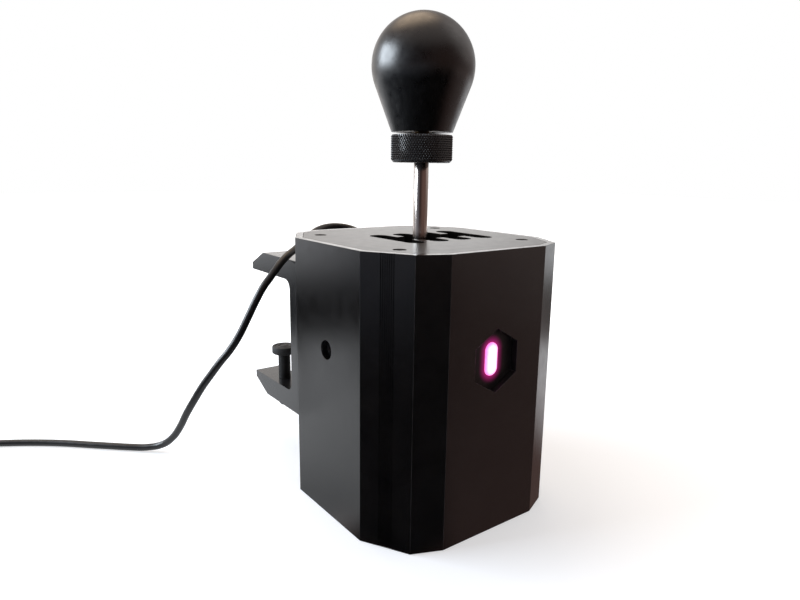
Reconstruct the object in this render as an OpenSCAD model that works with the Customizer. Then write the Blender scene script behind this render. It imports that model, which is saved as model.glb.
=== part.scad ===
// Table-clamped gear shifter for driving games: a tall twelve-sided metal body,
// an H-gate plate on top, a steel lever with a bulb knob, a sprung two-axis pivot
// inside, a pair of screw clamps behind and a lead with a plug.
// Millimetres. X runs across the front face, -Y is the front, Z is up.
// The origin is the middle of the base's underside.

/* [Body] */
// Width of the body across its left and right faces
body_w = 120; // [108:0.5:140]
// Depth of the body from its front face to its rear face
body_d = 124.5; // [116:0.5:140]
// Height of the body
body_h = 146.5; // [138:0.5:170]
// Thickness of the body's wall
wall = 4; // [3:0.25:5]
// Length of the flat left and right faces
side_flat = 63.2; // [54:0.2:70]
// Width of the flat front and rear faces
front_flat = 62.4; // [58:0.2:68]
// Distance of the corner's knee from the side face
knee_in_x = 13.4; // [11:0.2:15]
// Distance of the corner's knee from the front or rear face
knee_in_y = 6.7; // [5:0.1:8]
// Depth of the fine grooves in the wide corner facets
groove_depth = 0.6; // [0.4:0.1:1]
// Width of one groove
groove_w = 0.5; // [0.4:0.1:0.8]
// Distance from one groove to the next
groove_pitch = 1.1; // [1:0.1:1.3]
// Number of grooves in a facet
groove_count = 7; // [3:1:8]
// Distance of the first groove from the facet's edge
groove_start = 10.5; // [7:0.5:11]
// Distance of a corner post's axis from the side face
post_in_x = 18.6; // [17:0.2:21]
// Distance of a corner post's axis from the front or rear face
post_in_y = 25.4; // [23:0.2:28]
// Diameter of a corner post
post_d = 11; // [9:0.5:12]
// Diameter of the round hole in each side face
side_hole_d = 10.2; // [8:0.2:12]
// Height of the side holes and of the centring springs above the base
spring_z = 92; // [88:0.5:98]

/* [Gate plate] */
// Thickness of the gate plate
gate_t = 5; // [4:0.25:5.5]
// Distance from one slot to the next
slot_pitch = 16; // [15:0.25:17]
// Width of a slot
slot_w = 10.5; // [10:0.25:11.5]
// Length of a slot from end to end
slot_len = 42.6; // [41:0.2:46]
// Width of the cross slot that joins the slots
cross_w = 14; // [11:0.25:16]
// Number of slots
slot_count = 4; // [3:1:4]
// Diameter of the sunk hole over a plate screw
sink_d = 6.5; // [6.2:0.1:7.4]
// Depth of the sunk hole over a plate screw
sink_depth = 3.4; // [3.2:0.1:3.6]

/* [Base plate] */
// Thickness of the base plate
base_t = 6; // [5:0.25:8]
// Spacing of the mounting holes across the body
mount_x = 76; // [70:1:80]
// Spacing of the mounting holes along the body
mount_y = 32; // [26:1:36]
// Diameter of a mounting hole
mount_d = 6; // [5:0.5:7]

/* [Lever] */
// Diameter of the lever's rod
rod_d = 8; // [7:0.25:8.5]
// Height of the collar's underside above the gate plate
collar_rise = 40; // [34:0.5:52]
// Diameter of the knurled collar
collar_d = 32.7; // [28:0.1:35]
// Height of the knurled collar
collar_h = 14.4; // [12:0.2:19]
// Radius of the collar's lower edge
collar_edge = 2; // [1:0.25:3]
// Gap that shows between collar and knob
knob_line = 1.4; // [0.8:0.1:1.8]
// Greatest diameter of the knob
knob_d = 54; // [48:0.5:60]
// Height of the knob
knob_h = 60; // [56:0.5:70]
// Diameter of the knob's neck
knob_neck_d = 33; // [28:0.5:36]
// Diameter of the threaded insert in the knob
insert_d = 15; // [13:0.5:18]
// Length of the threaded insert in the knob
insert_l = 32; // [26:0.5:36]

/* [Pivot] */
// Height of the pivot's centre above the base
pivot_z = 44; // [43:0.5:47]
// Width of the selector ring across the body
ring_w = 48; // [46:0.5:52]
// Length of the selector ring along the body
ring_l = 59; // [55:0.5:62]
// Height of the selector ring
ring_h = 16; // [15:0.5:18]
// Thickness of the ring's walls that carry the shift axle
ring_wall_x = 6.5; // [6:0.25:7]
// Thickness of the ring's walls that carry the select pins
ring_wall_y = 7; // [6:0.25:9]
// Diameter of a select pin
pin_d = 10; // [9:0.25:11]
// Outer diameter of a select bush
bush_d = 14; // [13:0.25:15.5]
// Diameter of a select bush's flange
bush_flange_d = 18; // [17:0.25:20]
// Thickness of a select bush's flange
bush_flange_t = 2; // [1.5:0.25:3]
// Width of a bearing block's upright
block_w = 34; // [30:0.5:38]
// Thickness of a bearing block
block_t = 14; // [11:0.5:15]
// Width of a bearing block across its feet
block_foot_w = 57; // [54:0.5:60]
// Thickness of a bearing block's feet
block_foot_t = 6; // [5:0.5:8]
// Diameter of the shift axle
axle_d = 8; // [7:0.25:8.5]
// Outer diameter of an axle bush
axle_bush_d = 11; // [10.5:0.25:12]
// Diameter of an axle bush's flange
axle_flange_d = 14; // [13:0.25:15.5]
// Thickness of an axle bush's flange
axle_flange_t = 1.5; // [1:0.25:2]
// Width of the lever hub along the axle
hub_w = 23; // [21:0.5:25]
// Length of the lever hub from front to rear
hub_l = 20; // [17:0.5:22]
// Height of the hub's top above the pivot
hub_top = 16; // [14:0.5:17]
// Depth of the hub's underside below the pivot
hub_low = 11; // [10:0.5:12]
// Diameter of the hub's tail
tail_d = 12; // [10.5:0.5:13]
// Depth of the tail's end below the pivot
tail_low = 18; // [17:0.25:18.5]
// Thickness of the retaining clips on the axle
clip_t = 1; // [0.8:0.1:1.4]
// Diameter of the retaining clips on the axle
clip_d = 13; // [11:0.5:14]

/* [Detent] */
// Radius of the detent track about the shift axle
track_r = 22.4; // [22:0.1:23.4]
// Thickness of the cradle's bar under the middle of the track
track_t = 4.6; // [4:0.1:5.4]
// Length of the cradle's bar from front to rear
cradle_l = 26; // [22:0.5:30]
// Diameter of the detent ball
ball_d = 6; // [5.5:0.1:6.2]
// Angle of the lever between neutral and a gear
throw_deg = 8.6; // [7.5:0.1:8.7]
// Radius of a notch in the detent track
notch_r = 1.5; // [1.2:0.1:1.5]

/* [Yoke and springs] */
// Thickness of the yoke's plates
yoke_t = 4; // [3:0.25:5]
// Length of the yoke's plates from front to rear
yoke_l = 38; // [37:0.5:42]
// Distance from the rod's axis to the yoke's inner faces
yoke_in = 10; // [9.5:0.25:11]
// Height of the yoke's shelf above the pivot
shelf_up = 20; // [20:0.5:24]
// Height of the yoke's top above the springs' axis
yoke_over = 12; // [9:0.5:15]
// Diameter of a spring measured at the middle of its wire
spring_d = 9; // [8.5:0.1:10]
// Diameter of the spring's wire
spring_wire = 1.2; // [1:0.1:1.4]
// Turns of wire in a centring spring
spring_turns = 8; // [6:1:9]
// Diameter of a spring adjuster's thread
adjuster_d = 10; // [9:0.5:11]
// Length of a spring adjuster's thread
adjuster_l = 9; // [7.5:0.5:10]
// Length of the studs that guide the springs
stud_l = 4; // [3:0.25:5]
// Diameter of the studs that guide the springs
stud_d = 6; // [5:0.25:6.5]
// Diameter of the flange of an adjuster's sleeve
sleeve_flange_d = 24; // [20:0.5:28]

/* [Badge window] */
// Height of the six-sided window's centre above the base
badge_z = 91.7; // [85:0.1:98]
// Radius of the six-sided window to its points
badge_r = 16.4; // [14:0.1:18]
// Side of the square plate behind the window
badge_plate_w = 42; // [40:0.5:48]
// Thickness of the plate behind the window
badge_plate_t = 3; // [2:0.25:4]
// Width of the light's lens
lens_w = 8; // [6:0.25:10]
// Height of the light's lens
lens_h = 17; // [14:0.5:20]
// How far the lens stands out of its plate
lens_proud = 1; // [0.5:0.25:2]

/* [Electronics] */
// Width of the main circuit board
board_w = 54; // [50:0.5:56]
// Height of the main circuit board
board_h = 38; // [34:0.5:42]
// Height of the main board's lower edge above the base
board_z = 62; // [60:0.5:66]
// Thickness of the circuit boards
board_t = 1.6; // [1:0.1:2]
// Height of the main board's standoffs
standoff_h = 6; // [5:0.5:8]
// Diameter of the sensor magnets
magnet_d = 6; // [5:0.25:8]
// Thickness of the sensor magnets
magnet_t = 2.5; // [2:0.25:3]
// Gap between a magnet and its sensor board
sensor_gap = 1; // [0.5:0.1:1.2]

/* [Clamp] */
// Thickness of the clamp's back plate
clamp_plate_t = 5; // [4:0.5:7]
// Distance from the middle plane to the arms' outer faces
arm_out = 42; // [41:0.5:46]
// Width of one clamp arm
arm_w = 19; // [17:0.5:19.5]
// Thickness of an arm's web against the back plate
web_t = 8; // [7:0.5:10]
// Thickness of the upper and lower arms
arm_t = 12.8; // [11:0.2:15]
// Distance of the clamp's top below the body's top
clamp_drop = 18.7; // [18:0.1:22]
// Opening of the jaw without pads
jaw_open = 72.3; // [70:0.1:76]
// Reach of the arms behind the body's rear face
arm_reach = 67.2; // [62:0.2:76]
// Height of an arm's blunt nose
nose_h = 4.5; // [3:0.25:7]
// Length of the slope behind an arm's nose
nose_run = 17; // [12:0.5:20]
// Radius of the jaw's inner corners
jaw_fillet = 6; // [4:0.25:8]
// Diameter of a clamp screw
clamp_screw_d = 8; // [7:0.25:9]
// Length of a clamp screw without its tip
clamp_screw_l = 36; // [32:0.5:40]
// Distance of the clamp screws behind the body's rear face
clamp_screw_y = 41.8; // [36:0.2:46]
// Height of the pads' faces above the lower arm at rest
pad_rise = 22.3; // [20:0.1:26]
// Diameter of a clamp pad
pad_d = 16; // [13:0.5:18]
// Thickness of a clamp pad
pad_t = 5; // [4:0.25:6]

/* [Lead] */
// Diameter of the lead
lead_d = 4.5; // [4:0.1:4.6]
// Distance of the lead's gland below the body's top
gland_drop = 11.5; // [10.5:0.25:12.5]
// Distance of the gland to the right of the middle
gland_x = 22; // [18:0.5:24]
// Diameter of the gland's outer flange
gland_d = 12; // [10:0.25:12.5]
// Length of the tapered boot
boot_l = 12; // [8:0.5:16]
// Radius of the coil's innermost turn
coil_r = 19; // [16:0.5:21]
// Turns in each of the coil's two layers
coil_turns = 3; // [2:1:4]

/* [Fits] */
// Radial clearance of a shaft that turns in its bush
run_clear = 0.05; // [0.02:0.01:0.1]
// Radial clearance of a pressed pin, a bush in its seat or a thread
fit_clear = 0.03; // [0.01:0.01:0.06]
// Gap around a plate that is let into the body
seat_gap = 0.15; // [0.1:0.05:0.3]
// Side play of a piece between its stops
end_float = 0.4; // [0.2:0.1:0.8]

/* [Hidden] */
$fn = 64;
m3_d = 3;
m3_head_d = 5.5;
m3_head_h = 3;
m3_key = 2.5;
m4_d = 4;
m4_head_d = 7.6;
m4_head_h = 2.2;
m4_key = 2.5;
m5_d = 5;
m5_head_d = 9.5;
m5_head_h = 2.75;
m5_key = 3;
head_room = 0.25;
head_sunk = 0.3;
end_short = 1;
cut = 1;
lap = 0.01;

half_w = body_w / 2;
half_d = body_d / 2;
inner_w = half_w - wall;
inner_d = half_d - wall;
knee = [half_w - knee_in_x, half_d - knee_in_y];
facet_edge = [half_w, side_flat / 2];
facet_dir = (knee - facet_edge) / norm(knee - facet_edge);
facet_out = [facet_dir.y, -facet_dir.x];
facet_angle = atan2(facet_out.y, facet_out.x);
post = [half_w - post_in_x, half_d - post_in_y];
rib_w = post_d * 0.7;
rib_len = (facet_edge - post) * facet_out - wall / 2;
gate_z = body_h - gate_t;
plate_screw_l = 12;

ring_x = ring_w / 2;
ring_y = ring_l / 2;
block_y = ring_y + end_float + bush_flange_t;
pin_proud = 2;
pin_l = block_t + bush_flange_t + end_float + ring_wall_y + pin_proud;
pin_end = ring_y - ring_wall_y + pin_l;
foot_screw_x = (block_w + block_foot_w) / 4;
axle_half = ring_x + yoke_t;
ring_in_x = ring_x - ring_wall_x;
magnet_end = axle_half + magnet_t;
shift_board_x = magnet_end + sensor_gap;
shift_board_w = 28;
shift_board_h = 18;
shift_peg_y = 9.5;
shift_peg_z = 5.5;
select_board_y = pin_end + magnet_t + sensor_gap;
select_board_w = 30;
select_board_h = 16;
select_peg_x = 12.5;
peg_d = 2.4;
peg_boss_d = 5;
peg_proud = 1;
yoke_screw_y = (yoke_l - m4_head_d) / 2;
yoke_low = 6;
clip_room = 1.5;
axle_hole_d = clip_d + 2 * clip_room;
axle_clip_x = ring_x + end_float;

rod_over_axle = 1;
rod_low = axle_d / 2 + rod_over_axle;
collar_z = body_h + collar_rise;
knob_z = collar_z + collar_h + knob_line;
knob_r = knob_d / 2;
insert_end = 2;
rod_top = knob_z + insert_l - insert_end;
knob_edge = 0.3;
collar_bevel = 0.3;
spacer_wall = 2;
nut_h = 5;
nut_flats = 13;

ball_lift = 0.35;
ball_down = track_r - ball_lift - ball_d / 2;
tail_bore = ball_d / 2 + run_clear;
tail_web = 1.5;
tail_bore_top = axle_d / 2 + tail_web;
cradle_lip = 0.8;
cradle_top = track_r * cos(asin(cradle_l / 2 / track_r)) + cradle_lip;
cradle_low = track_r + track_t;
cradle_leg_l = 22;
cradle_screw_hold = 6;
cradle_screw_y = cradle_leg_l / 3;
cradle_screw_x = ring_x - ring_wall_x / 2;
detent_wire = 0.5;
detent_turns = 6;

adjuster_sunk = 1;
adjuster_in = inner_w - adjuster_sunk - adjuster_l;
spring_low = yoke_in + yoke_t;
sleeve_wall = 3;
sleeve_d = adjuster_d + 2 * sleeve_wall;
sleeve_l = adjuster_l - adjuster_sunk;
sleeve_flange_t = 3;
adjuster_key = 5;
adjuster_key_depth = 4;

board_y = inner_d - standoff_h - board_t;
standoff_d = 5;
standoff_in = 4;
standoff_x = board_w / 2 - standoff_in;
standoff_z = board_h / 2 - standoff_in;
standoff_floor = 1;
board_screw_head_d = 4.4;
board_screw_head_h = 1.6;
board_screw_key = 1.6;
board_screw_hold = 4;
chip_w = 10;
chip_t = 1.2;
board_mid = board_z + board_h / 2;
header_w = 8;
header_t = 6;
header_top = board_z + board_h;
header_x = 8;
lens_back = inner_d - badge_plate_t;

clamp_y = half_d + clamp_plate_t;
clamp_high = body_h - clamp_drop;
jaw_high = clamp_high - arm_t;
jaw_low = jaw_high - jaw_open;
clamp_low = jaw_low - arm_t;
pad_z = jaw_low + pad_rise;
arm_tip = half_d + arm_reach;
arm_mid = arm_out - arm_w / 2;
arm_screw_in = 14;
arm_screw_short = 2;
sunk_land = 0.4;
bolt_room = 2;
plate_bolt_x = arm_out - arm_w - m5_head_d / 2 - bolt_room;
plate_bolt_in = 12;
nut_bar_end = 9;
nut_bar_w = 2 * (plate_bolt_x + nut_bar_end);
nut_bar_h = 12;
nut_bar_t = 4;
clamp_screw_y_abs = half_d + clamp_screw_y;
pad_gap = 0.3;
screw_top = pad_z - pad_t - pad_gap;
tip_d = 5;
tip_l = 2.6;
tip_room = 0.2;
socket_depth = tip_l - pad_gap + tip_room;
clamp_key = 4;
clamp_key_depth = 5;

thread_d = 7;
gland_z = body_h - gland_drop;
gland_flange_t = 3;
gland_tail = 10;
gland_nut_t = 3;
gland_nut_flats = 9;
boot_d = gland_d * 0.72;
boot_wall = 0.65;
inner_lead_d = 3;
lead_r = lead_d / 2;

// The lead's free stretch: from the boot, over the left clamp arm, down to the
// floor and away to the left, where it joins the coil.
lead_route = [
    [22, 77.25, 135], [22, 82, 135], [21.7, 87.5, 136.9], [20, 93, 140.2], [16, 98.5, 142.5],
    [10, 102.3, 143.6], [3, 103.5, 143.6], [-4.5, 102, 142.6], [-12, 98, 140.8], [-20, 92.5, 138],
    [-27.5, 86.5, 135.4], [-35, 81, 132.8], [-41.5, 76.7, 130.6], [-47.5, 74, 127], [-52.5, 72, 122.8],
    [-57, 71, 118.2], [-61, 70.5, 114], [-66.5, 70.5, 105.5], [-71, 72, 96], [-76, 74.5, 85],
    [-81, 77.5, 76], [-86, 81, 68.5], [-90, 85, 61], [-94, 89.5, 53], [-98, 95.5, 42.5],
    [-101, 102.5, 32], [-103, 110.5, 21], [-106, 118.5, 11.5], [-110.5, 126, 5.3], [-118, 133, 2.8],
    [-127, 141, 2.3], [-137, 150, 2.3], [-148, 160, 2.3], [-160, 171, 2.3], [-174, 182, 2.3],
    [-189, 192, 2.3], [-204, 200.5, 2.4], [-219, 206.5, 2.9], [-233, 208.9, 3.4], [-241, 209, 3.6],
    [-245.5, 209, 3.6]
];
lead_start = [gland_x, half_d + gland_flange_t + boot_l, gland_z];
coil_gap = 0.5;
coil_step = lead_d + coil_gap;
coil_start = 90;
coil_extra = 0.25;
coil_out_r = coil_r + coil_turns * coil_step;
coil_x = -250;
coil_y = 209 - coil_out_r;
coil_low = 3.6;
follow_h = 100;
coil_rings = 24;
tail_straight = 36;
tie_w = 8;
tie_t = 0.9;
tie_gap = 0.8;
plug_w = 15;
plug_t = 8;
plug_l = 26;
plug_corner = 1;
plug_grip_l = 15;
plug_taper = 3;
relief_w = 7.4;
relief_end_w = 6;
plug_shell_w = 12;
plug_shell_t = 4.5;
plug_shell_l = 12;
plug_shell_wall = 0.4;
plug_shell_back = 2;

function unit(v) = v / norm(v);

function mirror_quadrants(q) = concat(
    q,
    [for (i = [len(q) - 1:-1:0]) [-q[i].x, q[i].y]],
    [for (p = q) -p],
    [for (i = [len(q) - 1:-1:0]) [q[i].x, -q[i].y]]
);

body_points = mirror_quadrants([facet_edge, knee, [front_flat / 2, half_d]]);

// The body's outline moved inwards by a wall's thickness, corner by corner
function inset(points, t) = [
    for (i = [0:len(points) - 1])
        let (
            here = points[i],
            before = points[(i + len(points) - 1) % len(points)],
            after = points[(i + 1) % len(points)],
            a = unit(here - before),
            b = unit(after - here),
            na = [-a.y, a.x],
            nb = [-b.y, b.x]
        )
        here + t * (na + nb) / (1 + na * nb)
];

function tangent(path, i) =
    unit(path[min(i + 1, len(path) - 1)] - path[max(i - 1, 0)]);

function square_off(n, t) = unit(n - (n * t) * t);

// Side vectors carried along a path without twisting
function side_vectors(path, first) = [
    for (i = 0, n = square_off(first, tangent(path, 0)); i < len(path);
         i = i + 1, n = i < len(path) ? square_off(n, tangent(path, i)) : n) n
];

// A round tube with triangular faces along a list of points
module tube(path, r, sides, first = [0, 0, 1]) {
    side = side_vectors(path, first);
    last = (len(path) - 1) * sides;
    points = [
        for (i = [0:len(path) - 1])
            for (k = [0:sides - 1])
                let (a = 360 * k / sides)
                path[i] + r * (cos(a) * side[i] + sin(a) * cross(tangent(path, i), side[i]))
    ];
    walls = [
        for (i = [0:len(path) - 2])
            for (k = [0:sides - 1])
                let (a = i * sides + k, b = i * sides + (k + 1) % sides)
                each [[a, a + sides, b], [b, a + sides, b + sides]]
    ];
    caps = [for (k = [1:sides - 2]) each [[0, k, k + 1], [last, last + k + 1, last + k]]];
    polyhedron(points, concat(walls, caps), convexity = 10);
}

// Least gap of a wound tube to itself, leaving out points within half a turn
function self_gap(path, r, skip) = min([
    for (i = [0:len(path) - 1])
        for (j = [i + skip:1:len(path) - 1])
            norm(path[i] - path[j])
]) - 2 * r;

// A spring along Z from 0 to its length, with short straight ends
function spring_path(mean_r, length, turns, wire) = concat(
    [[mean_r, 0, 0]],
    [for (i = [0:turns * 8])
        let (a = 45 * i, s = i / (turns * 8))
        [mean_r * cos(a), mean_r * sin(a), wire + s * (length - 2 * wire)]],
    [[mean_r, 0, length]]
);

// The upper stretch of the lead goes with the gland, the lower one stays on the floor
function lead_follow(z) = max(0, min(1, (z - coil_low) / follow_h));

lead_path = [for (p = lead_route) p + (lead_start - lead_route[0]) * lead_follow(p.z)];

// The coil: in on the lower layer, a climb over half a turn, out on the upper one
function coil_height(turn) =
    let (s = max(0, min(1, (turn - coil_turns + 0.25) / 0.5)))
    coil_low + coil_step * s * s * (3 - 2 * s);

function coil_point(turn) =
    let (r = coil_r + coil_step * abs(turn - coil_turns), a = coil_start + 360 * turn)
    [coil_x + r * cos(a), coil_y + r * sin(a), coil_height(turn)];

coil_end_turn = 2 * coil_turns + coil_extra;
coil_loops = [for (i = [0:coil_rings * coil_end_turn]) coil_point(i / coil_rings)];
coil_end = coil_point(coil_end_turn);
tail_end = [coil_end.x, coil_end.y - tail_straight, plug_t / 2];
coil_path = concat(
    [[coil_x + lead_d, coil_loops[0].y, coil_low]],
    coil_loops,
    [
        coil_end + [0, -8, -0.3],
        coil_end + [0, -16, -1.4],
        tail_end + [0, 12, 0.7],
        tail_end + [0, lead_d, 0],
        tail_end
    ]
);

centring_path = spring_path(spring_d / 2, adjuster_in - spring_low, spring_turns, spring_wire);
detent_length = ball_down - ball_d / 2 - tail_bore_top;
detent_path = spring_path(
    tail_bore - detent_wire, detent_length, detent_turns, detent_wire
);
echo(coil_gap_mm = self_gap(coil_path, lead_r, 12));
echo(centring_spring_gap_mm = self_gap(centring_path, spring_wire / 2, 5));
echo(detent_spring_gap_mm = self_gap(detent_path, detent_wire / 2, 5));

module body_prism(inset_by, low, high) {
    translate([0, 0, low])
        linear_extrude(high - low)
            polygon(inset(body_points, inset_by));
}

module each_corner() {
    for (sx = [0, 1], sy = [0, 1])
        mirror([sx, 0, 0]) mirror([0, sy, 0]) children();
}

module both_sides() {
    for (sx = [0, 1])
        mirror([sx, 0, 0]) children();
}

// A cylinder along Y from one depth to another
module along_y(d, from, to) {
    translate([0, from, 0]) rotate([-90, 0, 0]) cylinder(d = d, h = to - from);
}

// A cylinder along X from one side to another
module along_x(d, from, to) {
    translate([from, 0, 0]) rotate([0, 90, 0]) cylinder(d = d, h = to - from);
}

// A screw with its head's underside at zero and its thread pointing down
module socket_screw(d, head_d, head_h, length, key) {
    difference() {
        union() {
            cylinder(d = head_d, h = head_h);
            translate([0, 0, -length]) cylinder(d = d, h = length + head_h / 2);
        }
        translate([0, 0, head_h * 0.4]) cylinder(d = key / cos(30), h = head_h, $fn = 6);
    }
}

module thread_hole(d, depth) {
    translate([0, 0, -depth]) cylinder(d = d + 2 * fit_clear, h = depth + cut);
}

module capsule(w, h, from, to) {
    translate([-w / 2, from, -(h - w) / 2]) cube([w, to - from, h - w]);
    for (s = [-1, 1])
        translate([0, 0, s * (h - w) / 2]) along_y(w, from, to);
}

module each_plate_bolt() {
    for (s = [-1, 1], z = [clamp_low + plate_bolt_in, clamp_high - plate_bolt_in])
        translate([s * plate_bolt_x, 0, z]) children();
}

module each_standoff() {
    for (sx = [-1, 1], sz = [-1, 1])
        translate([sx * standoff_x, 0, board_mid + sz * standoff_z]) children();
}

module grooves() {
    for (i = [0:groove_count - 1])
        translate(facet_edge + facet_dir * (groove_start + i * groove_pitch))
            rotate([0, 0, facet_angle])
                translate([-groove_depth, -groove_w / 2, -cut])
                    cube([2 * groove_depth, groove_w, body_h + 2 * cut]);
}

module corner_post() {
    translate([post.x, post.y, base_t]) {
        rotate([0, 0, facet_angle]) {
            rotate([0, 0, 180]) cylinder(d = post_d, h = gate_z - base_t);
            translate([0, -rib_w / 2, 0]) cube([rib_len, rib_w, gate_z - base_t]);
        }
    }
}

// Extruded twelve-sided tube with a screw post in each corner
module body_shell() {
    color([0.10, 0.10, 0.11])
        difference() {
            union() {
                difference() {
                    body_prism(0, 0, body_h);
                    body_prism(wall, -cut, body_h + cut);
                }
                each_corner() corner_post();
            }
            each_corner() {
                grooves();
                translate([post.x, post.y, gate_z]) thread_hole(m3_d, plate_screw_l);
                translate([post.x, post.y, base_t]) mirror([0, 0, 1]) thread_hole(m3_d, plate_screw_l);
            }
            both_sides()
                translate([0, 0, spring_z]) along_x(side_hole_d, inner_w - cut, half_w + cut);
            translate([0, 0, badge_z])
                rotate([90, 0, 0])
                    rotate([0, 0, 90])
                        translate([0, 0, inner_d - cut])
                            cylinder(r = badge_r, h = wall + 2 * cut, $fn = 6);
            translate([gland_x, 0, gland_z])
                along_y(thread_d + 2 * fit_clear, inner_d - cut, half_d + cut);
            each_plate_bolt() along_y(m5_d + 2 * fit_clear, inner_d - cut, half_d + cut);
        }
}

module gate_slot(i) {
    straight = slot_len - slot_w;
    translate([(i - 1) * slot_pitch, 0, gate_z - cut]) {
        translate([-slot_w / 2, -straight / 2, 0]) cube([slot_w, straight, gate_t + 2 * cut]);
        for (s = [-1, 1])
            translate([0, s * straight / 2, 0]) cylinder(d = slot_w, h = gate_t + 2 * cut);
    }
}

// Flat plate let into the body's top, with slots joined by a cross slot
module gate_plate() {
    color([0.16, 0.16, 0.17])
        difference() {
            body_prism(wall + seat_gap, gate_z, body_h);
            for (i = [0:slot_count - 1])
                gate_slot(i);
            translate([-slot_pitch, -cross_w / 2, gate_z - cut])
                cube([(slot_count - 1) * slot_pitch, cross_w, gate_t + 2 * cut]);
            each_corner()
                translate([post.x, post.y, body_h]) {
                    translate([0, 0, -sink_depth]) cylinder(d = sink_d, h = sink_depth + cut);
                    thread_hole(m3_d, gate_t + cut);
                }
        }
}

module gate_screws() {
    color([0.08, 0.08, 0.08])
        each_corner()
            translate([post.x, post.y, body_h - sink_depth])
                socket_screw(m3_d, m3_head_d, m3_head_h, plate_screw_l - sink_depth, m3_key);
}

// Plate let into the body's underside; it carries the pivot and the mounting holes
module base_plate() {
    color([0.14, 0.14, 0.15])
        difference() {
            body_prism(wall + seat_gap, 0, base_t);
            for (sx = [-1, 1], sy = [-1, 1])
                translate([sx * mount_x / 2, sy * mount_y / 2, -cut])
                    cylinder(d = mount_d, h = base_t + 2 * cut);
            each_corner()
                translate([post.x, post.y, 0]) {
                    translate([0, 0, -cut]) cylinder(d = sink_d, h = sink_depth + cut);
                    translate([0, 0, base_t]) thread_hole(m3_d, base_t + cut);
                }
            for (sx = [-1, 1], sy = [-1, 1])
                translate([sx * foot_screw_x, sy * (block_y + block_t / 2), base_t])
                    thread_hole(m4_d, base_t + cut);
        }
}

module base_screws() {
    color([0.08, 0.08, 0.08])
        each_corner()
            translate([post.x, post.y, sink_depth])
                mirror([0, 0, 1])
                    socket_screw(m3_d, m3_head_d, m3_head_h, plate_screw_l - sink_depth, m3_key);
}

// Round-topped pillar with two feet, bored for a select bush
module bearing_block() {
    difference() {
        union() {
            translate([-block_w / 2, block_y, base_t])
                cube([block_w, block_t, pivot_z - base_t]);
            translate([0, 0, pivot_z]) along_y(block_w, block_y, block_y + block_t);
            translate([-block_foot_w / 2, block_y, base_t])
                cube([block_foot_w, block_t, block_foot_t]);
        }
        translate([0, 0, pivot_z])
            along_y(bush_d + 2 * fit_clear, block_y - cut, block_y + block_t + cut);
        for (s = [-1, 1])
            translate([s * foot_screw_x, block_y + block_t / 2, base_t + block_foot_t])
                thread_hole(m4_d, block_foot_t + cut);
    }
}

// The front block also carries two pegs for the select sensor's board
module front_bearing_block() {
    face = block_y + block_t;
    color([0.62, 0.63, 0.65])
        mirror([0, 1, 0]) {
            bearing_block();
            for (s = [-1, 1])
                translate([s * select_peg_x, 0, pivot_z]) {
                    along_y(peg_boss_d, face - cut, select_board_y);
                    along_y(peg_d, face - cut, select_board_y + board_t + peg_proud);
                }
        }
}

module rear_bearing_block() {
    color([0.62, 0.63, 0.65]) bearing_block();
}

module block_screws() {
    color([0.55, 0.56, 0.58])
        for (sx = [-1, 1], sy = [-1, 1])
            translate([sx * foot_screw_x, sy * (block_y + block_t / 2), base_t + block_foot_t])
                socket_screw(m4_d, m4_head_d, m4_head_h, block_foot_t + base_t - end_short, m4_key);
}

module select_bushes() {
    color([0.72, 0.55, 0.28])
        for (s = [0, 1])
            mirror([0, s, 0])
                translate([0, 0, pivot_z])
                    difference() {
                        union() {
                            along_y(bush_d, block_y - bush_flange_t, block_y + block_t);
                            along_y(bush_flange_d, block_y - bush_flange_t, block_y);
                        }
                        along_y(
                            pin_d + 2 * run_clear, block_y - bush_flange_t - cut, block_y + block_t + cut
                        );
                    }
}

// Flanged sleeves bonded inside the side walls, threaded for the adjusters
module adjuster_sleeves() {
    color([0.60, 0.61, 0.63])
        both_sides()
            translate([0, 0, spring_z])
                difference() {
                    union() {
                        along_x(sleeve_d, inner_w - sleeve_l, inner_w);
                        along_x(sleeve_flange_d, inner_w - sleeve_flange_t, inner_w);
                    }
                    along_x(adjuster_d + 2 * fit_clear, inner_w - sleeve_l - cut, inner_w + cut);
                }
}

// Threaded plugs that load the springs; a key reaches them through the side holes
module spring_adjusters() {
    color([0.09, 0.09, 0.09])
        both_sides()
            translate([0, 0, spring_z])
                difference() {
                    union() {
                        along_x(adjuster_d, adjuster_in, adjuster_in + adjuster_l);
                        along_x(stud_d, adjuster_in - stud_l, adjuster_in + cut);
                    }
                    translate([adjuster_in + adjuster_l - adjuster_key_depth, 0, 0])
                        rotate([0, 90, 0])
                            cylinder(d = adjuster_key / cos(30), h = adjuster_key_depth + cut, $fn = 6);
                }
}

module centring_springs() {
    color([0.70, 0.71, 0.73])
        both_sides()
            translate([spring_low, 0, spring_z])
                rotate([0, 90, 0])
                    tube(centring_path, spring_wire / 2, 6, [1, 0, 0]);
}

// Dark plate behind the six-sided window, with a slot for the light's lens
module badge_plate() {
    color([0.06, 0.06, 0.06])
        difference() {
            translate([-badge_plate_w / 2, -inner_d, badge_z - badge_plate_w / 2])
                cube([badge_plate_w, badge_plate_t, badge_plate_w]);
            translate([0, 0, badge_z])
                capsule(lens_w + 2 * fit_clear, lens_h + 2 * fit_clear, -inner_d - cut, cut - lens_back);
        }
}

module badge_lens() {
    color([1.0, 0.35, 0.85])
        translate([0, 0, badge_z])
            capsule(lens_w, lens_h, -inner_d - lens_proud, -lens_back);
}

module led_board() {
    side = badge_plate_w * 0.6;
    color([0.05, 0.25, 0.12])
        translate([-side / 2, -lens_back, badge_z - side / 2])
            cube([side, board_t, side]);
}

module main_board() {
    color([0.05, 0.25, 0.12])
        difference() {
            translate([-board_w / 2, board_y, board_z]) cube([board_w, board_t, board_h]);
            each_standoff() along_y(peg_d + 2 * fit_clear, board_y - cut, board_y + board_t + cut);
        }
}

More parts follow.
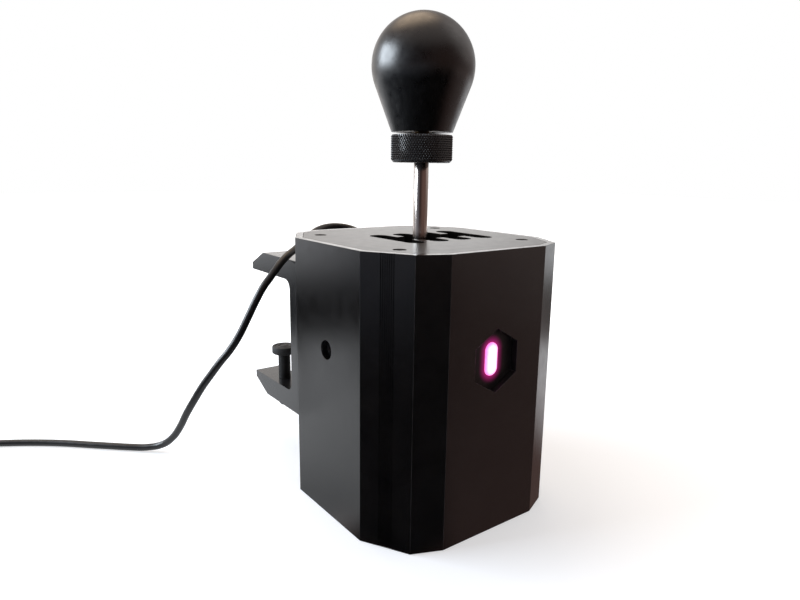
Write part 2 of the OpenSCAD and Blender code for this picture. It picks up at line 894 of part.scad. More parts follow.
// Controller chip and the header that the inner lead plugs into
module board_chips() {
    color([0.05, 0.05, 0.06]) {
        translate([-board_w / 4 - chip_w / 2, board_y - chip_t, board_mid - chip_w / 2])
            cube([chip_w, chip_t, chip_w]);
        translate([header_x - header_w / 2, board_y - header_t, header_top - header_w])
            cube([header_w, header_t, header_w]);
    }
}

module board_standoffs() {
    color([0.78, 0.66, 0.36])
        each_standoff()
            difference() {
                along_y(standoff_d, board_y + board_t, inner_d);
                along_y(peg_d + 2 * fit_clear, board_y, inner_d - standoff_floor);
            }
}

module board_screws() {
    color([0.70, 0.71, 0.73])
        each_standoff()
            translate([0, board_y, 0])
                rotate([90, 0, 0])
                    socket_screw(
                        peg_d, board_screw_head_d, board_screw_head_h,
                        board_t + board_screw_hold, board_screw_key
                    );
}

module select_sensor_board() {
    color([0.05, 0.25, 0.12])
        translate([0, 0, pivot_z])
            mirror([0, 1, 0]) difference() {
                translate([-select_board_w / 2, select_board_y, -select_board_h / 2])
                    cube([select_board_w, board_t, select_board_h]);
                for (s = [-1, 1])
                    translate([s * select_peg_x, 0, 0])
                        along_y(peg_d + 2 * fit_clear, select_board_y - cut, select_board_y + board_t + cut);
            }
}

// Back plate of the clamp, bolted to the body's rear face
module clamp_plate() {
    color([0.11, 0.11, 0.12])
        difference() {
            translate([-arm_out, half_d, clamp_low])
                cube([2 * arm_out, clamp_plate_t, clamp_high - clamp_low]);
            each_plate_bolt() along_y(m5_d + 2 * fit_clear, half_d - cut, clamp_y + cut);
            each_arm_screw() sunk_screw(fit_clear, cut);
        }
}

// Bars inside the rear wall that the plate's bolts screw into
module clamp_nut_bars() {
    color([0.55, 0.56, 0.58])
        for (z = [clamp_low + plate_bolt_in, clamp_high - plate_bolt_in])
            difference() {
                translate([-nut_bar_w / 2, inner_d - nut_bar_t, z - nut_bar_h / 2])
                    cube([nut_bar_w, nut_bar_t, nut_bar_h]);
                for (s = [-1, 1])
                    translate([s * plate_bolt_x, 0, z])
                        along_y(m5_d + 2 * fit_clear, inner_d - nut_bar_t - cut, inner_d + cut);
            }
}

module clamp_plate_screws() {
    color([0.08, 0.08, 0.08])
        each_plate_bolt()
            translate([0, clamp_y, 0])
                rotate([-90, 0, 0])
                    socket_screw(m5_d, m5_head_d, m5_head_h, clamp_plate_t + wall + nut_bar_t, m5_key);
}

module each_arm_screw() {
    for (s = [-1, 1], z = [clamp_low + arm_screw_in + arm_t, clamp_high - arm_screw_in - arm_t])
        translate([s * arm_mid, half_d, z])
            rotate([-90, 0, 0]) children();
}

// Flat-headed screw, or its hole when it is given some room
module sunk_screw(room, proud) {
    translate([0, 0, -proud]) cylinder(d = m5_head_d + 2 * room, h = proud + sunk_land);
    translate([0, 0, sunk_land])
        cylinder(d1 = m5_head_d + 2 * room, d2 = m5_d + 2 * room, h = (m5_head_d - m5_d) / 2);
    cylinder(d = m5_d + 2 * room, h = clamp_plate_t + web_t - arm_screw_short + proud);
}

module arm_screws() {
    color([0.08, 0.08, 0.08]) each_arm_screw() sunk_screw(0, 0);
}

// Side view of a clamp arm: two blunt-nosed arms on a web, with round inner corners
module arm_profile() {
    web = clamp_y + web_t;
    reach = arm_tip - web + cut;
    difference() {
        polygon([
            [clamp_y, clamp_low],
            [arm_tip - nose_run, clamp_low],
            [arm_tip, jaw_low - nose_h],
            [arm_tip, jaw_high + nose_h],
            [arm_tip - nose_run, clamp_high],
            [clamp_y, clamp_high]
        ]);
        translate([web + jaw_fillet, jaw_low]) square([reach, jaw_open]);
        translate([web, jaw_low + jaw_fillet]) square([reach, jaw_open - 2 * jaw_fillet]);
        for (z = [jaw_low + jaw_fillet, jaw_high - jaw_fillet])
            translate([web + jaw_fillet, z]) circle(r = jaw_fillet);
    }
}

module clamp_arm() {
    difference() {
        translate([arm_mid - arm_w / 2, 0, 0])
            rotate([90, 0, 90])
                linear_extrude(arm_w) arm_profile();
        translate([arm_mid, clamp_screw_y_abs, clamp_low - cut])
            cylinder(d = clamp_screw_d + 2 * run_clear, h = arm_t + 2 * cut);
        each_arm_screw() sunk_screw(fit_clear, cut);
    }
}

module clamp_arm_left() {
    color([0.11, 0.11, 0.12]) mirror([1, 0, 0]) clamp_arm();
}

module clamp_arm_right() {
    color([0.11, 0.11, 0.12]) clamp_arm();
}

// Gland through the rear wall with a tapered boot for the lead
module cable_gland() {
    color([0.05, 0.05, 0.05])
        translate([gland_x, 0, gland_z]) {
            along_y(thread_d, inner_d - gland_tail, half_d + cut);
            along_y(gland_d, half_d, half_d + gland_flange_t);
            translate([0, half_d + gland_flange_t - lap, 0])
                rotate([-90, 0, 0])
                    cylinder(d1 = boot_d, d2 = lead_d + 2 * boot_wall, h = boot_l + lap);
        }
}

module gland_nut() {
    color([0.05, 0.05, 0.05])
        translate([gland_x, 0, gland_z])
            difference() {
                translate([0, inner_d - gland_nut_t, 0])
                    rotate([-90, 0, 0])
                        cylinder(d = gland_nut_flats / cos(30), h = gland_nut_t, $fn = 6);
                along_y(thread_d + 2 * fit_clear, inner_d - gland_nut_t - cut, inner_d + cut);
            }
}

// Short lead from the gland down to the main board's header
module inner_lead() {
    start = inner_d - gland_tail;
    drop = board_y - header_t / 2;
    low = header_top + inner_lead_d;
    color([0.04, 0.04, 0.04])
        tube([
            [gland_x, start, gland_z],
            [gland_x, start - 2, gland_z],
            [gland_x, start - 4, gland_z - 1],
            [gland_x, start - 5, gland_z - 4],
            [gland_x - 0.5, start - 4.5, gland_z - 8],
            [gland_x - 2, start - 3, gland_z - 12],
            [(gland_x + header_x) / 2, drop - 0.5, (gland_z + low) / 2],
            [header_x + 1, drop, low + 4],
            [header_x, drop, low],
            [header_x, drop, header_top]
        ], inner_lead_d / 2, 8, [1, 0, 0]);
}

module cable_lead() {
    color([0.04, 0.04, 0.04]) tube(lead_path, lead_r, 8);
}

module cable_coil() {
    color([0.04, 0.04, 0.04]) tube(coil_path, lead_r, 6);
}

// Strap round the coil's bundle of turns
module cable_tie() {
    near = coil_point(0.5);
    inner_r = coil_r + coil_step / 2 - lead_r - tie_gap;
    outer_r = coil_y - near.y + lead_r + tie_gap;
    top = coil_low + coil_step + lead_r + tie_gap / 2;
    bottom = coil_low - lead_r - tie_gap / 2;
    color([0.07, 0.07, 0.08])
        translate([coil_x - tie_w / 2, 0, 0])
            difference() {
                translate([0, coil_y - outer_r - tie_t, bottom - tie_t])
                    cube([tie_w, outer_r - inner_r + 2 * tie_t, top - bottom + 2 * tie_t]);
                translate([-cut, coil_y - outer_r, bottom])
                    cube([tie_w + 2 * cut, outer_r - inner_r, top - bottom]);
            }
}

// Moulded plug that narrows to a strain relief at the lead
module usb_plug_body() {
    side = [
        [plug_w / 2 - plug_corner, 0],
        [plug_w / 2, plug_corner],
        [plug_w / 2, plug_grip_l],
        [relief_w / 2, plug_grip_l + plug_taper],
        [relief_end_w / 2, plug_l]
    ];
    color([0.05, 0.05, 0.05])
        translate([tail_end.x, tail_end.y - plug_l, 0])
            linear_extrude(plug_t)
                polygon(concat(side, [for (i = [len(side) - 1:-1:0]) [-side[i].x, side[i].y]]));
}

module usb_plug_shell() {
    color([0.75, 0.76, 0.78])
        translate([tail_end.x, tail_end.y - plug_l - plug_shell_l, plug_t / 2])
            difference() {
                translate([-plug_shell_w / 2, 0, -plug_shell_t / 2])
                    cube([plug_shell_w, plug_shell_l, plug_shell_t]);
                translate([plug_shell_wall - plug_shell_w / 2, -cut, 0])
                    cube([
                        plug_shell_w - 2 * plug_shell_wall,
                        plug_shell_l - plug_shell_back + cut,
                        plug_shell_t / 2 - plug_shell_wall
                    ]);
            }
}

// Frame that tilts sideways on the select pins and carries the shift axle
module selector_ring() {
    color([0.58, 0.59, 0.61])
        translate([0, 0, pivot_z])
            difference() {
                translate([-ring_x, -ring_y, -ring_h / 2]) cube([ring_w, ring_l, ring_h]);
                translate([-ring_in_x, ring_wall_y - ring_y, -ring_h])
                    cube([2 * ring_in_x, ring_l - 2 * ring_wall_y, 2 * ring_h]);
                along_y(pin_d + 2 * fit_clear, -ring_y - cut, ring_y + cut);
                along_x(axle_bush_d + 2 * fit_clear, -ring_x - cut, ring_x + cut);
                each_yoke_screw() along_x(m4_d + 2 * fit_clear, ring_x - ring_wall_x - cut, ring_x + cut);
                for (sx = [-1, 1], sy = [-1, 1])
                    translate([sx * cradle_screw_x, sy * cradle_screw_y, -ring_h / 2])
                        mirror([0, 0, 1]) thread_hole(m3_d, cradle_screw_hold);
            }
}

module select_pins() {
    color([0.74, 0.75, 0.77])
        for (s = [0, 1])
            mirror([0, s, 0])
                translate([0, 0, pivot_z])
                    along_y(pin_d, ring_y - ring_wall_y, pin_end);
}

module axle_bushes() {
    color([0.72, 0.55, 0.28])
        both_sides()
            translate([0, 0, pivot_z])
                difference() {
                    union() {
                        along_x(axle_bush_d, ring_in_x - cut / 2, ring_x);
                        along_x(axle_flange_d, ring_in_x - axle_flange_t, ring_in_x);
                    }
                    along_x(axle_d + 2 * run_clear, ring_in_x - axle_flange_t - cut, ring_x + cut);
                }
}

module each_yoke_screw() {
    both_sides()
        for (s = [-1, 1])
            translate([0, s * yoke_screw_y, 0]) children();
}

// Stepped plate on the ring's side that a centring spring pushes against
module yoke_plate() {
    shelf = pivot_z + shelf_up;
    top = spring_z + yoke_over;
    difference() {
        union() {
            translate([ring_x, -yoke_l / 2, pivot_z - yoke_low])
                cube([yoke_t, yoke_l, shelf_up + yoke_low + yoke_t]);
            translate([yoke_in, -yoke_l / 2, shelf])
                cube([ring_x + yoke_t - yoke_in, yoke_l, yoke_t]);
            translate([yoke_in, -yoke_l / 2, shelf])
                cube([yoke_t, yoke_l, top - shelf]);
            translate([0, 0, spring_z]) along_x(stud_d, yoke_in + yoke_t / 2, spring_low + stud_l);
        }
        translate([0, 0, pivot_z]) {
            along_x(axle_hole_d, ring_x - cut, ring_x + yoke_t + cut);
            each_yoke_screw() along_x(m4_d + 2 * fit_clear, ring_x - cut, ring_x + yoke_t + cut);
        }
    }
}

module yoke_left() {
    color([0.20, 0.20, 0.22]) mirror([1, 0, 0]) yoke_plate();
}

// The right yoke also carries two pegs for the shift sensor's board
module yoke_right() {
    color([0.20, 0.20, 0.22]) {
        yoke_plate();
        for (s = [-1, 1])
            translate([0, s * shift_peg_y, pivot_z + shift_peg_z]) {
                along_x(peg_boss_d, axle_half - yoke_t / 2, shift_board_x);
                along_x(peg_d, axle_half - yoke_t / 2, shift_board_x + board_t + peg_proud);
            }
    }
}

module yoke_screws() {
    color([0.55, 0.56, 0.58])
        translate([0, 0, pivot_z])
            each_yoke_screw()
                translate([axle_half, 0, 0])
                    rotate([0, 90, 0])
                        socket_screw(m4_d, m4_head_d, m4_head_h, yoke_t + ring_wall_x - end_short, m4_key);
}

module each_cradle_screw() {
    both_sides()
        for (s = [-1, 1])
            translate([cradle_screw_x, s * cradle_screw_y, pivot_z - cradle_low]) children();
}

// Bracket under the ring with a round track and a notch for each lever position
module detent_cradle() {
    color([0.50, 0.51, 0.53])
        difference() {
            translate([0, 0, pivot_z]) {
                translate([-ring_x, -cradle_l / 2, -cradle_low])
                    cube([ring_w, cradle_l, cradle_low - cradle_top]);
                both_sides()
                    translate([ring_in_x, -cradle_leg_l / 2, -cradle_low])
                        cube([ring_wall_x, cradle_leg_l, cradle_low - ring_h / 2]);
            }
            translate([0, 0, pivot_z]) {
                along_x(2 * track_r, -ring_in_x, ring_in_x);
                for (i = [-1:1])
                    rotate([i * throw_deg, 0, 0])
                        translate([0, 0, -track_r - notch_r / 3])
                            along_x(2 * notch_r, -ring_in_x, ring_in_x);
            }
            each_cradle_screw() {
                translate([0, 0, -cut])
                    cylinder(d = m3_head_d + 2 * head_room, h = m3_head_h + head_sunk + cut);
                translate([0, 0, cradle_low]) thread_hole(m3_d, cradle_low + cut);
            }
        }
}

module cradle_screws() {
    length = cradle_low - ring_h / 2 - m3_head_h - head_sunk + cradle_screw_hold - end_short;
    color([0.55, 0.56, 0.58])
        each_cradle_screw()
            translate([0, 0, m3_head_h + head_sunk])
                mirror([0, 0, 1])
                    socket_screw(m3_d, m3_head_d, m3_head_h, length, m3_key);
}

module select_magnet() {
    color([0.66, 0.67, 0.70])
        translate([0, 0, pivot_z]) along_y(magnet_d, -pin_end - magnet_t, -pin_end);
}

module shift_sensor_board() {
    color([0.05, 0.25, 0.12])
        translate([0, 0, pivot_z])
            difference() {
                translate([shift_board_x, -shift_board_w / 2, -shift_board_h / 2])
                    cube([board_t, shift_board_w, shift_board_h]);
                for (s = [-1, 1])
                    translate([0, s * shift_peg_y, shift_peg_z])
                        along_x(peg_d + 2 * fit_clear, shift_board_x - cut, shift_board_x + board_t + cut);
            }
}

// Block on the shift axle that holds the rod above and the detent ball below
module lever_hub() {
    color([0.56, 0.57, 0.60])
        translate([0, 0, pivot_z])
            difference() {
                union() {
                    translate([-hub_w / 2, -hub_l / 2, -hub_low]) cube([hub_w, hub_l, hub_low + hub_top]);
                    translate([0, 0, -tail_low]) cylinder(d = tail_d, h = tail_low);
                }
                along_x(axle_d + 2 * fit_clear, -hub_w / 2 - cut, hub_w / 2 + cut);
                translate([0, 0, rod_low]) cylinder(d = rod_d + 2 * fit_clear, h = hub_top);
                translate([0, 0, -tail_low - cut])
                    cylinder(r = tail_bore, h = tail_low - tail_bore_top + cut);
            }
}

module shift_axle() {
    color([0.74, 0.75, 0.77])
        translate([0, 0, pivot_z]) along_x(axle_d, -axle_half, axle_half);
}

module axle_spacers() {
    color([0.80, 0.80, 0.78])
        both_sides()
            translate([0, 0, pivot_z])
                difference() {
                    along_x(axle_d + 2 * spacer_wall, hub_w / 2, ring_in_x - axle_flange_t - end_float / 2);
                    along_x(axle_d + 2 * fit_clear, hub_w / 2 - cut, ring_in_x);
                }
}

module axle_clips() {
    color([0.12, 0.12, 0.13])
        both_sides()
            translate([0, 0, pivot_z])
                difference() {
                    along_x(clip_d, axle_clip_x, axle_clip_x + clip_t);
                    along_x(axle_d + 2 * fit_clear, axle_clip_x - cut, axle_clip_x + clip_t + cut);
                }
}

module shift_magnet() {
    color([0.66, 0.67, 0.70])
        translate([0, 0, pivot_z]) along_x(magnet_d, axle_half, magnet_end);
}

module detent_spring() {
    color([0.70, 0.71, 0.73])
        translate([0, 0, pivot_z - ball_down + ball_d / 2])
            tube(detent_path, detent_wire / 2, 6, [1, 0, 0]);
}

module detent_ball() {
    color([0.78, 0.79, 0.81])
        translate([0, 0, pivot_z - ball_down]) sphere(d = ball_d);
}

// Polished steel rod from the hub up into the knob
module shift_rod() {
    low = pivot_z + rod_low;
    color([0.78, 0.78, 0.77])
        translate([0, 0, low]) cylinder(d = rod_d, h = rod_top - low);
}

module rod_lock_nut() {
    color([0.60, 0.61, 0.63])
        translate([0, 0, pivot_z + hub_top])
            difference() {
                cylinder(d = nut_flats / cos(30), h = nut_h, $fn = 6);
                translate([0, 0, -cut]) cylinder(d = rod_d + 2 * fit_clear, h = nut_h + 2 * cut);
            }
}

module knob_insert() {
    color([0.74, 0.60, 0.30])
        translate([0, 0, knob_z])
            difference() {
                cylinder(d = insert_d, h = insert_l);
                translate([0, 0, -cut]) cylinder(d = rod_d + 2 * fit_clear, h = insert_l - insert_end + cut);
            }
}

// Bulb knob: a ball that runs tangentially into a tapered neck
module knob() {
    neck_r = knob_neck_d / 2;
    centre = knob_h - knob_r;
    first = acos(knob_r / norm([neck_r, centre])) - atan2(centre, neck_r);
    steps = 28;
    bore = insert_d / 2 + fit_clear;
    color([0.07, 0.07, 0.07])
        translate([0, 0, knob_z])
            rotate_extrude()
                polygon(concat(
                    [[bore, 0], [neck_r - knob_edge, 0], [neck_r, knob_edge]],
                    [for (i = [0:steps])
                        let (a = first + (90 - first) * i / steps)
                        [i == steps ? 0 : knob_r * cos(a), centre + knob_r * sin(a)]],
                    [[0, insert_l + fit_clear], [bore, insert_l + fit_clear]]
                ));
}

// Collar under the knob, with a round lower edge
module knob_collar() {
    r = collar_d / 2;
    bore = rod_d / 2 + fit_clear;
    color([0.06, 0.06, 0.06])
        translate([0, 0, collar_z])
            rotate_extrude()
                polygon(concat(
                    [[bore, 0]],
                    [for (a = [-90:15:0])
                        [r - collar_edge + collar_edge * cos(a), collar_edge + collar_edge * sin(a)]],
                    [[r, collar_h - collar_bevel], [r - collar_bevel, collar_h], [bore, collar_h]]
                ));
}

// Round pad that bears on the table's underside
module clamp_pad() {
    translate([arm_mid, clamp_screw_y_abs, pad_z - pad_t])
        difference() {
            cylinder(d = pad_d, h = pad_t);
            translate([0, 0, -cut]) cylinder(d = tip_d + 2 * run_clear, h = socket_depth + cut);
        }
}

module clamp_pad_left() {
    color([0.07, 0.07, 0.07]) mirror([1, 0, 0]) clamp_pad();
}

module clamp_pad_right() {
    color([0.07, 0.07, 0.07]) clamp_pad();
}

// Headless screw with a key socket below and a round tip in the pad
module clamp_screw() {
    translate([arm_mid, clamp_screw_y_abs, screw_top - clamp_screw_l])
        difference() {
            union() {
                cylinder(d = clamp_screw_d, h = clamp_screw_l);
                cylinder(d = tip_d, h = clamp_screw_l + tip_l);
            }
            translate([0, 0, -cut]) cylinder(d = clamp_key / cos(30), h = clamp_key_depth + cut, $fn = 6);
        }
}

module clamp_screw_left() {
    color([0.09, 0.09, 0.09]) mirror([1, 0, 0]) clamp_screw();
}

module clamp_screw_right() {
    color([0.09, 0.09, 0.09]) clamp_screw();
}

body_shell();
gate_plate();
gate_screws();
base_plate();
base_screws();
front_bearing_block();
rear_bearing_block();
block_screws();
select_bushes();
adjuster_sleeves();
spring_adjusters();
centring_springs();
badge_plate();
badge_lens();
led_board();
main_board();
board_chips();
board_standoffs();
board_screws();
select_sensor_board();
clamp_plate();
clamp_nut_bars();
clamp_plate_screws();
arm_screws();
clamp_arm_left();
clamp_arm_right();
cable_gland();
gland_nut();
inner_lead();
cable_lead();
cable_coil();
cable_tie();
usb_plug_body();
usb_plug_shell();
selector_ring();
select_pins();
axle_bushes();
yoke_left();
yoke_right();
yoke_screws();
detent_cradle();
cradle_screws();
select_magnet();
shift_sensor_board();
lever_hub();
shift_axle();
axle_spacers();
axle_clips();
shift_magnet();
detent_spring();
detent_ball();
shift_rod();
rod_lock_nut();
knob_insert();
knob();
knob_collar();
clamp_pad_left();
clamp_pad_right();
clamp_screw_left();
clamp_screw_right();
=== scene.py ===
import math

import bmesh
import bpy
from mathutils import Matrix, Vector


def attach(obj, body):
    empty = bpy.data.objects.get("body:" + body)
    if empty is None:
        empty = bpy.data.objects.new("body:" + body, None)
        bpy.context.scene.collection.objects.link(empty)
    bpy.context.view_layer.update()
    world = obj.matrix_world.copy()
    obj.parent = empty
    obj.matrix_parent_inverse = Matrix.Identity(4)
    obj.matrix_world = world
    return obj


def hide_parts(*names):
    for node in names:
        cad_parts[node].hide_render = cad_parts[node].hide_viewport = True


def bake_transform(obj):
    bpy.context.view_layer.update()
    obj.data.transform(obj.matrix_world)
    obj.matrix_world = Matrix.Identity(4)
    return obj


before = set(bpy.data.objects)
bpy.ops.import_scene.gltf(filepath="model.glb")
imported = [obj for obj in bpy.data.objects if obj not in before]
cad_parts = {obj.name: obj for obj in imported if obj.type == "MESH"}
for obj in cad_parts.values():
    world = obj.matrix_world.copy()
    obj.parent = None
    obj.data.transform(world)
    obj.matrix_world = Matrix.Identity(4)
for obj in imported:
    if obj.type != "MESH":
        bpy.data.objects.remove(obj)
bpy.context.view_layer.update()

# Studio: a white floor in a room that is pale behind and dark and warm in front, with a window on
# the left and a warm ceiling. The camera stands low, in front and to the left.
scene = bpy.context.scene
scene.view_settings.view_transform = "Standard"


def node(tree, kind, inputs=None, **settings):
    """Adds a node and sets its inputs, or links those that are given as sockets."""
    made = tree.nodes.new(kind)
    for name, value in settings.items():
        setattr(made, name, value)
    for name, value in (inputs or {}).items():
        if isinstance(value, bpy.types.NodeSocket):
            tree.links.new(value, made.inputs[name])
        else:
            made.inputs[name].default_value = value
    return made


def number(tree, operation, a, b):
    return node(tree, "ShaderNodeMath", {0: a, 1: b}, operation=operation).outputs[0]


def two_tone(tree, share, first, second):
    """A mix of two colours, each a plain colour or a socket."""
    tones = [c if isinstance(c, bpy.types.NodeSocket) else (*c, 1.0) for c in (first, second)]
    return node(tree, "ShaderNodeMix", {0: share, 6: tones[0], 7: tones[1]}, data_type="RGBA").outputs[2]


def added(name, data):
    """A new object in the scene."""
    made = bpy.data.objects.new(name, data)
    scene.collection.objects.link(made)
    return made


camera = added("camera", bpy.data.cameras.new("camera"))
scene.camera = camera
camera.data.sensor_width = 36.0
camera.data.lens = 28.17
camera.data.clip_start = 0.01
camera_spot = Vector((-0.21496, -0.26887, 0.18409))
turned_by = math.radians(-36.9)
tipped_by = math.radians(11.99)
leaned_by = 0.014
ahead = Vector((
    -math.sin(turned_by) * math.cos(tipped_by),
    math.cos(turned_by) * math.cos(tipped_by),
    -math.sin(tipped_by),
))
level = Vector((math.cos(turned_by), math.sin(turned_by), 0.0))
upright = level.cross(ahead)
side = level * math.cos(leaned_by) + upright * math.sin(leaned_by)
above = upright * math.cos(leaned_by) - level * math.sin(leaned_by)
camera.matrix_world = Matrix((
    (side.x, above.x, -ahead.x, camera_spot.x),
    (side.y, above.y, -ahead.y, camera_spot.y),
    (side.z, above.z, -ahead.z, camera_spot.z),
    (0.0, 0.0, 0.0, 1.0),
))


def soft_step(tree, value, low, high, strength=1.0):
    """Rises softly from nothing at low to the strength at high."""
    return node(
        tree, "ShaderNodeMapRange",
        {"Value": value, "From Min": low, "From Max": high, "To Min": 0.0, "To Max": strength},
        interpolation_type="SMOOTHSTEP",
    ).outputs["Result"]


def spread(tree, value, low, high, start=0.3, end=0.7):
    """Stretches the span of a value from start to end over low to high."""
    return node(
        tree, "ShaderNodeMapRange",
        {"Value": value, "From Min": start, "From Max": end, "To Min": low, "To Max": high},
    ).outputs["Result"]


def lean(tree, way, axis):
    return node(tree, "ShaderNodeVectorMath", {0: way, 1: axis}, operation="DOT_PRODUCT").outputs["Value"]


def from_side(tree, way, axis, low, high, strength=1.0):
    """A soft light on one side, by how far the way reaches along the axis."""
    return soft_step(tree, lean(tree, way, axis), low, high, strength)


def tinted(tree, *lights):
    """The sum of lights, each a strength and a tint."""
    total = (0.0, 0.0, 0.0)
    for strength, tint in lights:
        light = node(tree, "ShaderNodeVectorMath", {0: tint, 3: strength}, operation="SCALE").outputs[0]
        total = node(tree, "ShaderNodeVectorMath", {0: light, 1: total}, operation="ADD").outputs[0]
    return total


world = bpy.data.worlds.new("studio")
scene.world = world
world.use_nodes = True
room = world.node_tree
towards = node(room, "ShaderNodeTexCoord").outputs["Generated"]
white = (1.0, 1.0, 1.0)
rear_wall = (0.5, 0.866, 0.0)
doorway = (0.62, 0.785, 0.0)
rear_left = (-0.3, 0.95, 0.0)
right_wall = (1.0, 0.0, 0.0)
window_wall = (-0.9, 0.4, 0.1)
front_wall = (0.6, -0.8, 0.0)
walls = tinted(
    room,
    (from_side(room, towards, rear_wall, 0.35, 1.0, 0.75), white),
    (from_side(room, towards, doorway, 0.95, 1.0), white),
    (from_side(room, towards, rear_left, 0.2, 0.9, 0.35), (1.0, 0.9, 0.8)),
    (from_side(room, towards, right_wall, 0.3, 1.0, 0.06), (1.0, 0.98, 0.96)),
    (from_side(room, towards, window_wall, 0.4, 1.0, 0.25), (0.82, 0.92, 1.12)),
    (from_side(room, towards, front_wall, 0.1, 0.8, 0.12), (1.0, 0.58, 0.48)),
    (0.06, (1.0, 0.66, 0.6)),
)
height = lean(room, towards, (0.0, 0.0, 1.0))
low_walls = spread(room, height, 1.0, 0.1, start=0.3, end=0.8)
inside = node(room, "ShaderNodeVectorMath", {0: walls, 3: low_walls}, operation="SCALE").outputs[0]
ceiling_light = (0.08, 0.38, 0.92)
upper_right = (0.8, -0.2, 0.56)
ceiling = tinted(
    room,
    (soft_step(room, height, 0.4, 0.9, 0.58), (1.0, 0.88, 0.84)),
    (from_side(room, towards, ceiling_light, 0.86, 1.0, 2.5), (1.0, 0.76, 0.52)),
    (from_side(room, towards, upper_right, 0.8, 1.0, 0.6), (1.0, 0.97, 0.95)),
)
inside = node(room, "ShaderNodeVectorMath", {0: inside, 1: ceiling}, operation="ADD").outputs[0]
seen = node(room, "ShaderNodeLightPath").outputs["Is Camera Ray"]
room.links.new(two_tone(room, seen, inside, white), room.nodes["Background"].inputs["Color"])

lamp = bpy.data.lights.new("window_lamp", "AREA")
lamp.energy = 20.0
lamp.color = (0.82, 0.91, 1.0)
lamp.shape = "RECTANGLE"
lamp.size = 0.9
lamp.size_y = 0.6
window_lamp = added("window_lamp", lamp)
window_lamp.location = (-0.91, 0.68, 0.58)
lamp_aim = Vector((0.0, 0.0, 0.2)) - window_lamp.location
window_lamp.rotation_euler = lamp_aim.to_track_quat("-Z", "Y").to_euler()
window_lamp.visible_camera = False

floor_reach = 4.0
floor_top = -0.0003
floor_corners = ((-1, -1), (1, -1), (1, 1), (-1, 1))
floor_mesh = bpy.data.meshes.new("floor")
floor_mesh.from_pydata(
    [(x * floor_reach, y * floor_reach, floor_top) for x, y in floor_corners], [], [(0, 1, 2, 3)]
)
floor = added("floor", floor_mesh)
floor_paper = bpy.data.materials.new("floor_paper")
floor_paper.use_nodes = True
paper = floor_paper.node_tree
paper.nodes.remove(paper.nodes["Principled BSDF"])
rays = node(paper, "ShaderNodeLightPath")
ground = node(paper, "ShaderNodeTexCoord").outputs["Object"]
distance = node(paper, "ShaderNodeVectorMath", {0: ground}, operation="LENGTH").outputs["Value"]

# What glossy faces mirror of the floor: it is bright behind the part and dim and warm before it.
reach = node(paper, "ShaderNodeValToRGB", {"Fac": distance})
stops = reach.color_ramp.elements
for far_off, brightness in (
    (0.07, 0.5), (0.11, 0.75), (0.16, 0.9), (0.23, 1.0), (0.35, 1.0), (0.41, 0.02), (0.70, 0.0), (1.0, 0.15)
):
    stops.new(far_off).color = (brightness, brightness, brightness, 1.0)
for spare in (stops[-1], stops[0]):
    stops.remove(spare)
behind = number(
    paper, "MULTIPLY", from_side(paper, ground, (0.1, 0.99, 0.0), -0.04, -0.012),
    from_side(paper, ground, (0.86, 0.51, 0.0), -0.13, -0.085),
)
before = number(
    paper, "MULTIPLY", from_side(paper, ground, (0.0, -1.0, 0.0), -0.01, 0.03),
    from_side(paper, ground, (0.8, 0.6, 0.0), -0.075, -0.05, 0.2),
)
mirrored = node(
    paper, "ShaderNodeEmission",
    {"Color": tinted(
        paper,
        (number(paper, "MULTIPLY", behind, reach.outputs["Color"]), (0.97, 1.0, 1.04)),
        (from_side(paper, ground, (1.0, 0.6, 0.0), 0.05, 0.3, 0.14), (1.0, 0.98, 0.96)),
        (before, (1.0, 0.62, 0.55)),
        (from_side(paper, ground, (-1.0, 0.0, 0.0), 0.3, 0.9, 0.22), (0.85, 0.95, 1.15)),
        (soft_step(paper, distance, 1.2, 2.0, 0.22), (1.0, 0.74, 0.65)),
    )},
)

# What the camera sees of it: white paper that glows less close to the part, where its shadow lies.
white_out = spread(paper, distance, 0.5, 1.0, start=0.1, end=0.45)
direct = number(paper, "MULTIPLY", rays.outputs["Is Camera Ray"], white_out)
glow = node(paper, "ShaderNodeEmission", {"Color": (1.0, 1.0, 1.0, 1.0), "Strength": direct})
matt = node(paper, "ShaderNodeBsdfDiffuse", {"Color": (0.56, 0.60, 0.65, 1.0)})
shown = node(paper, "ShaderNodeAddShader", {0: glow.outputs[0], 1: matt.outputs[0]})
both = node(
    paper, "ShaderNodeMixShader",
    {0: rays.outputs["Is Glossy Ray"], 1: shown.outputs[0], 2: mirrored.outputs[0]},
)
paper.links.new(both.outputs[0], paper.nodes["Material Output"].inputs["Surface"])
floor_mesh.materials.append(floor_paper)


# Body: an extruded twelve-sided aluminium tube, bead-blasted and black anodised, with fine
# grooves in its wide corner facets. Its screw posts carry the plates at both ends.
def finish(name, roughness, metallic=0.0, ior=1.5):
    """A new material with its tree and its shader."""
    material = bpy.data.materials.new(name)
    material.use_nodes = True
    shader = material.node_tree.nodes["Principled BSDF"]
    shader.inputs["Roughness"].default_value = roughness
    shader.inputs["Metallic"].default_value = metallic
    shader.inputs["IOR"].default_value = ior
    return material, material.node_tree, shader


def place(tree, stretch=None):
    """The piece's own coordinates, stretched where a grain runs one way."""
    coords = node(tree, "ShaderNodeTexCoord").outputs["Object"]
    if stretch:
        coords = node(tree, "ShaderNodeMapping", {"Vector": coords, "Scale": stretch}).outputs["Vector"]
    return coords


def grain(tree, coords, scale, detail=2.0):
    return node(
        tree, "ShaderNodeTexNoise", {"Vector": coords, "Scale": scale, "Detail": detail}
    ).outputs["Fac"]


def bumped(tree, shader, height, strength, distance):
    bump = node(tree, "ShaderNodeBump", {"Height": height, "Strength": strength, "Distance": distance})
    tree.links.new(bump.outputs["Normal"], shader.inputs["Normal"])


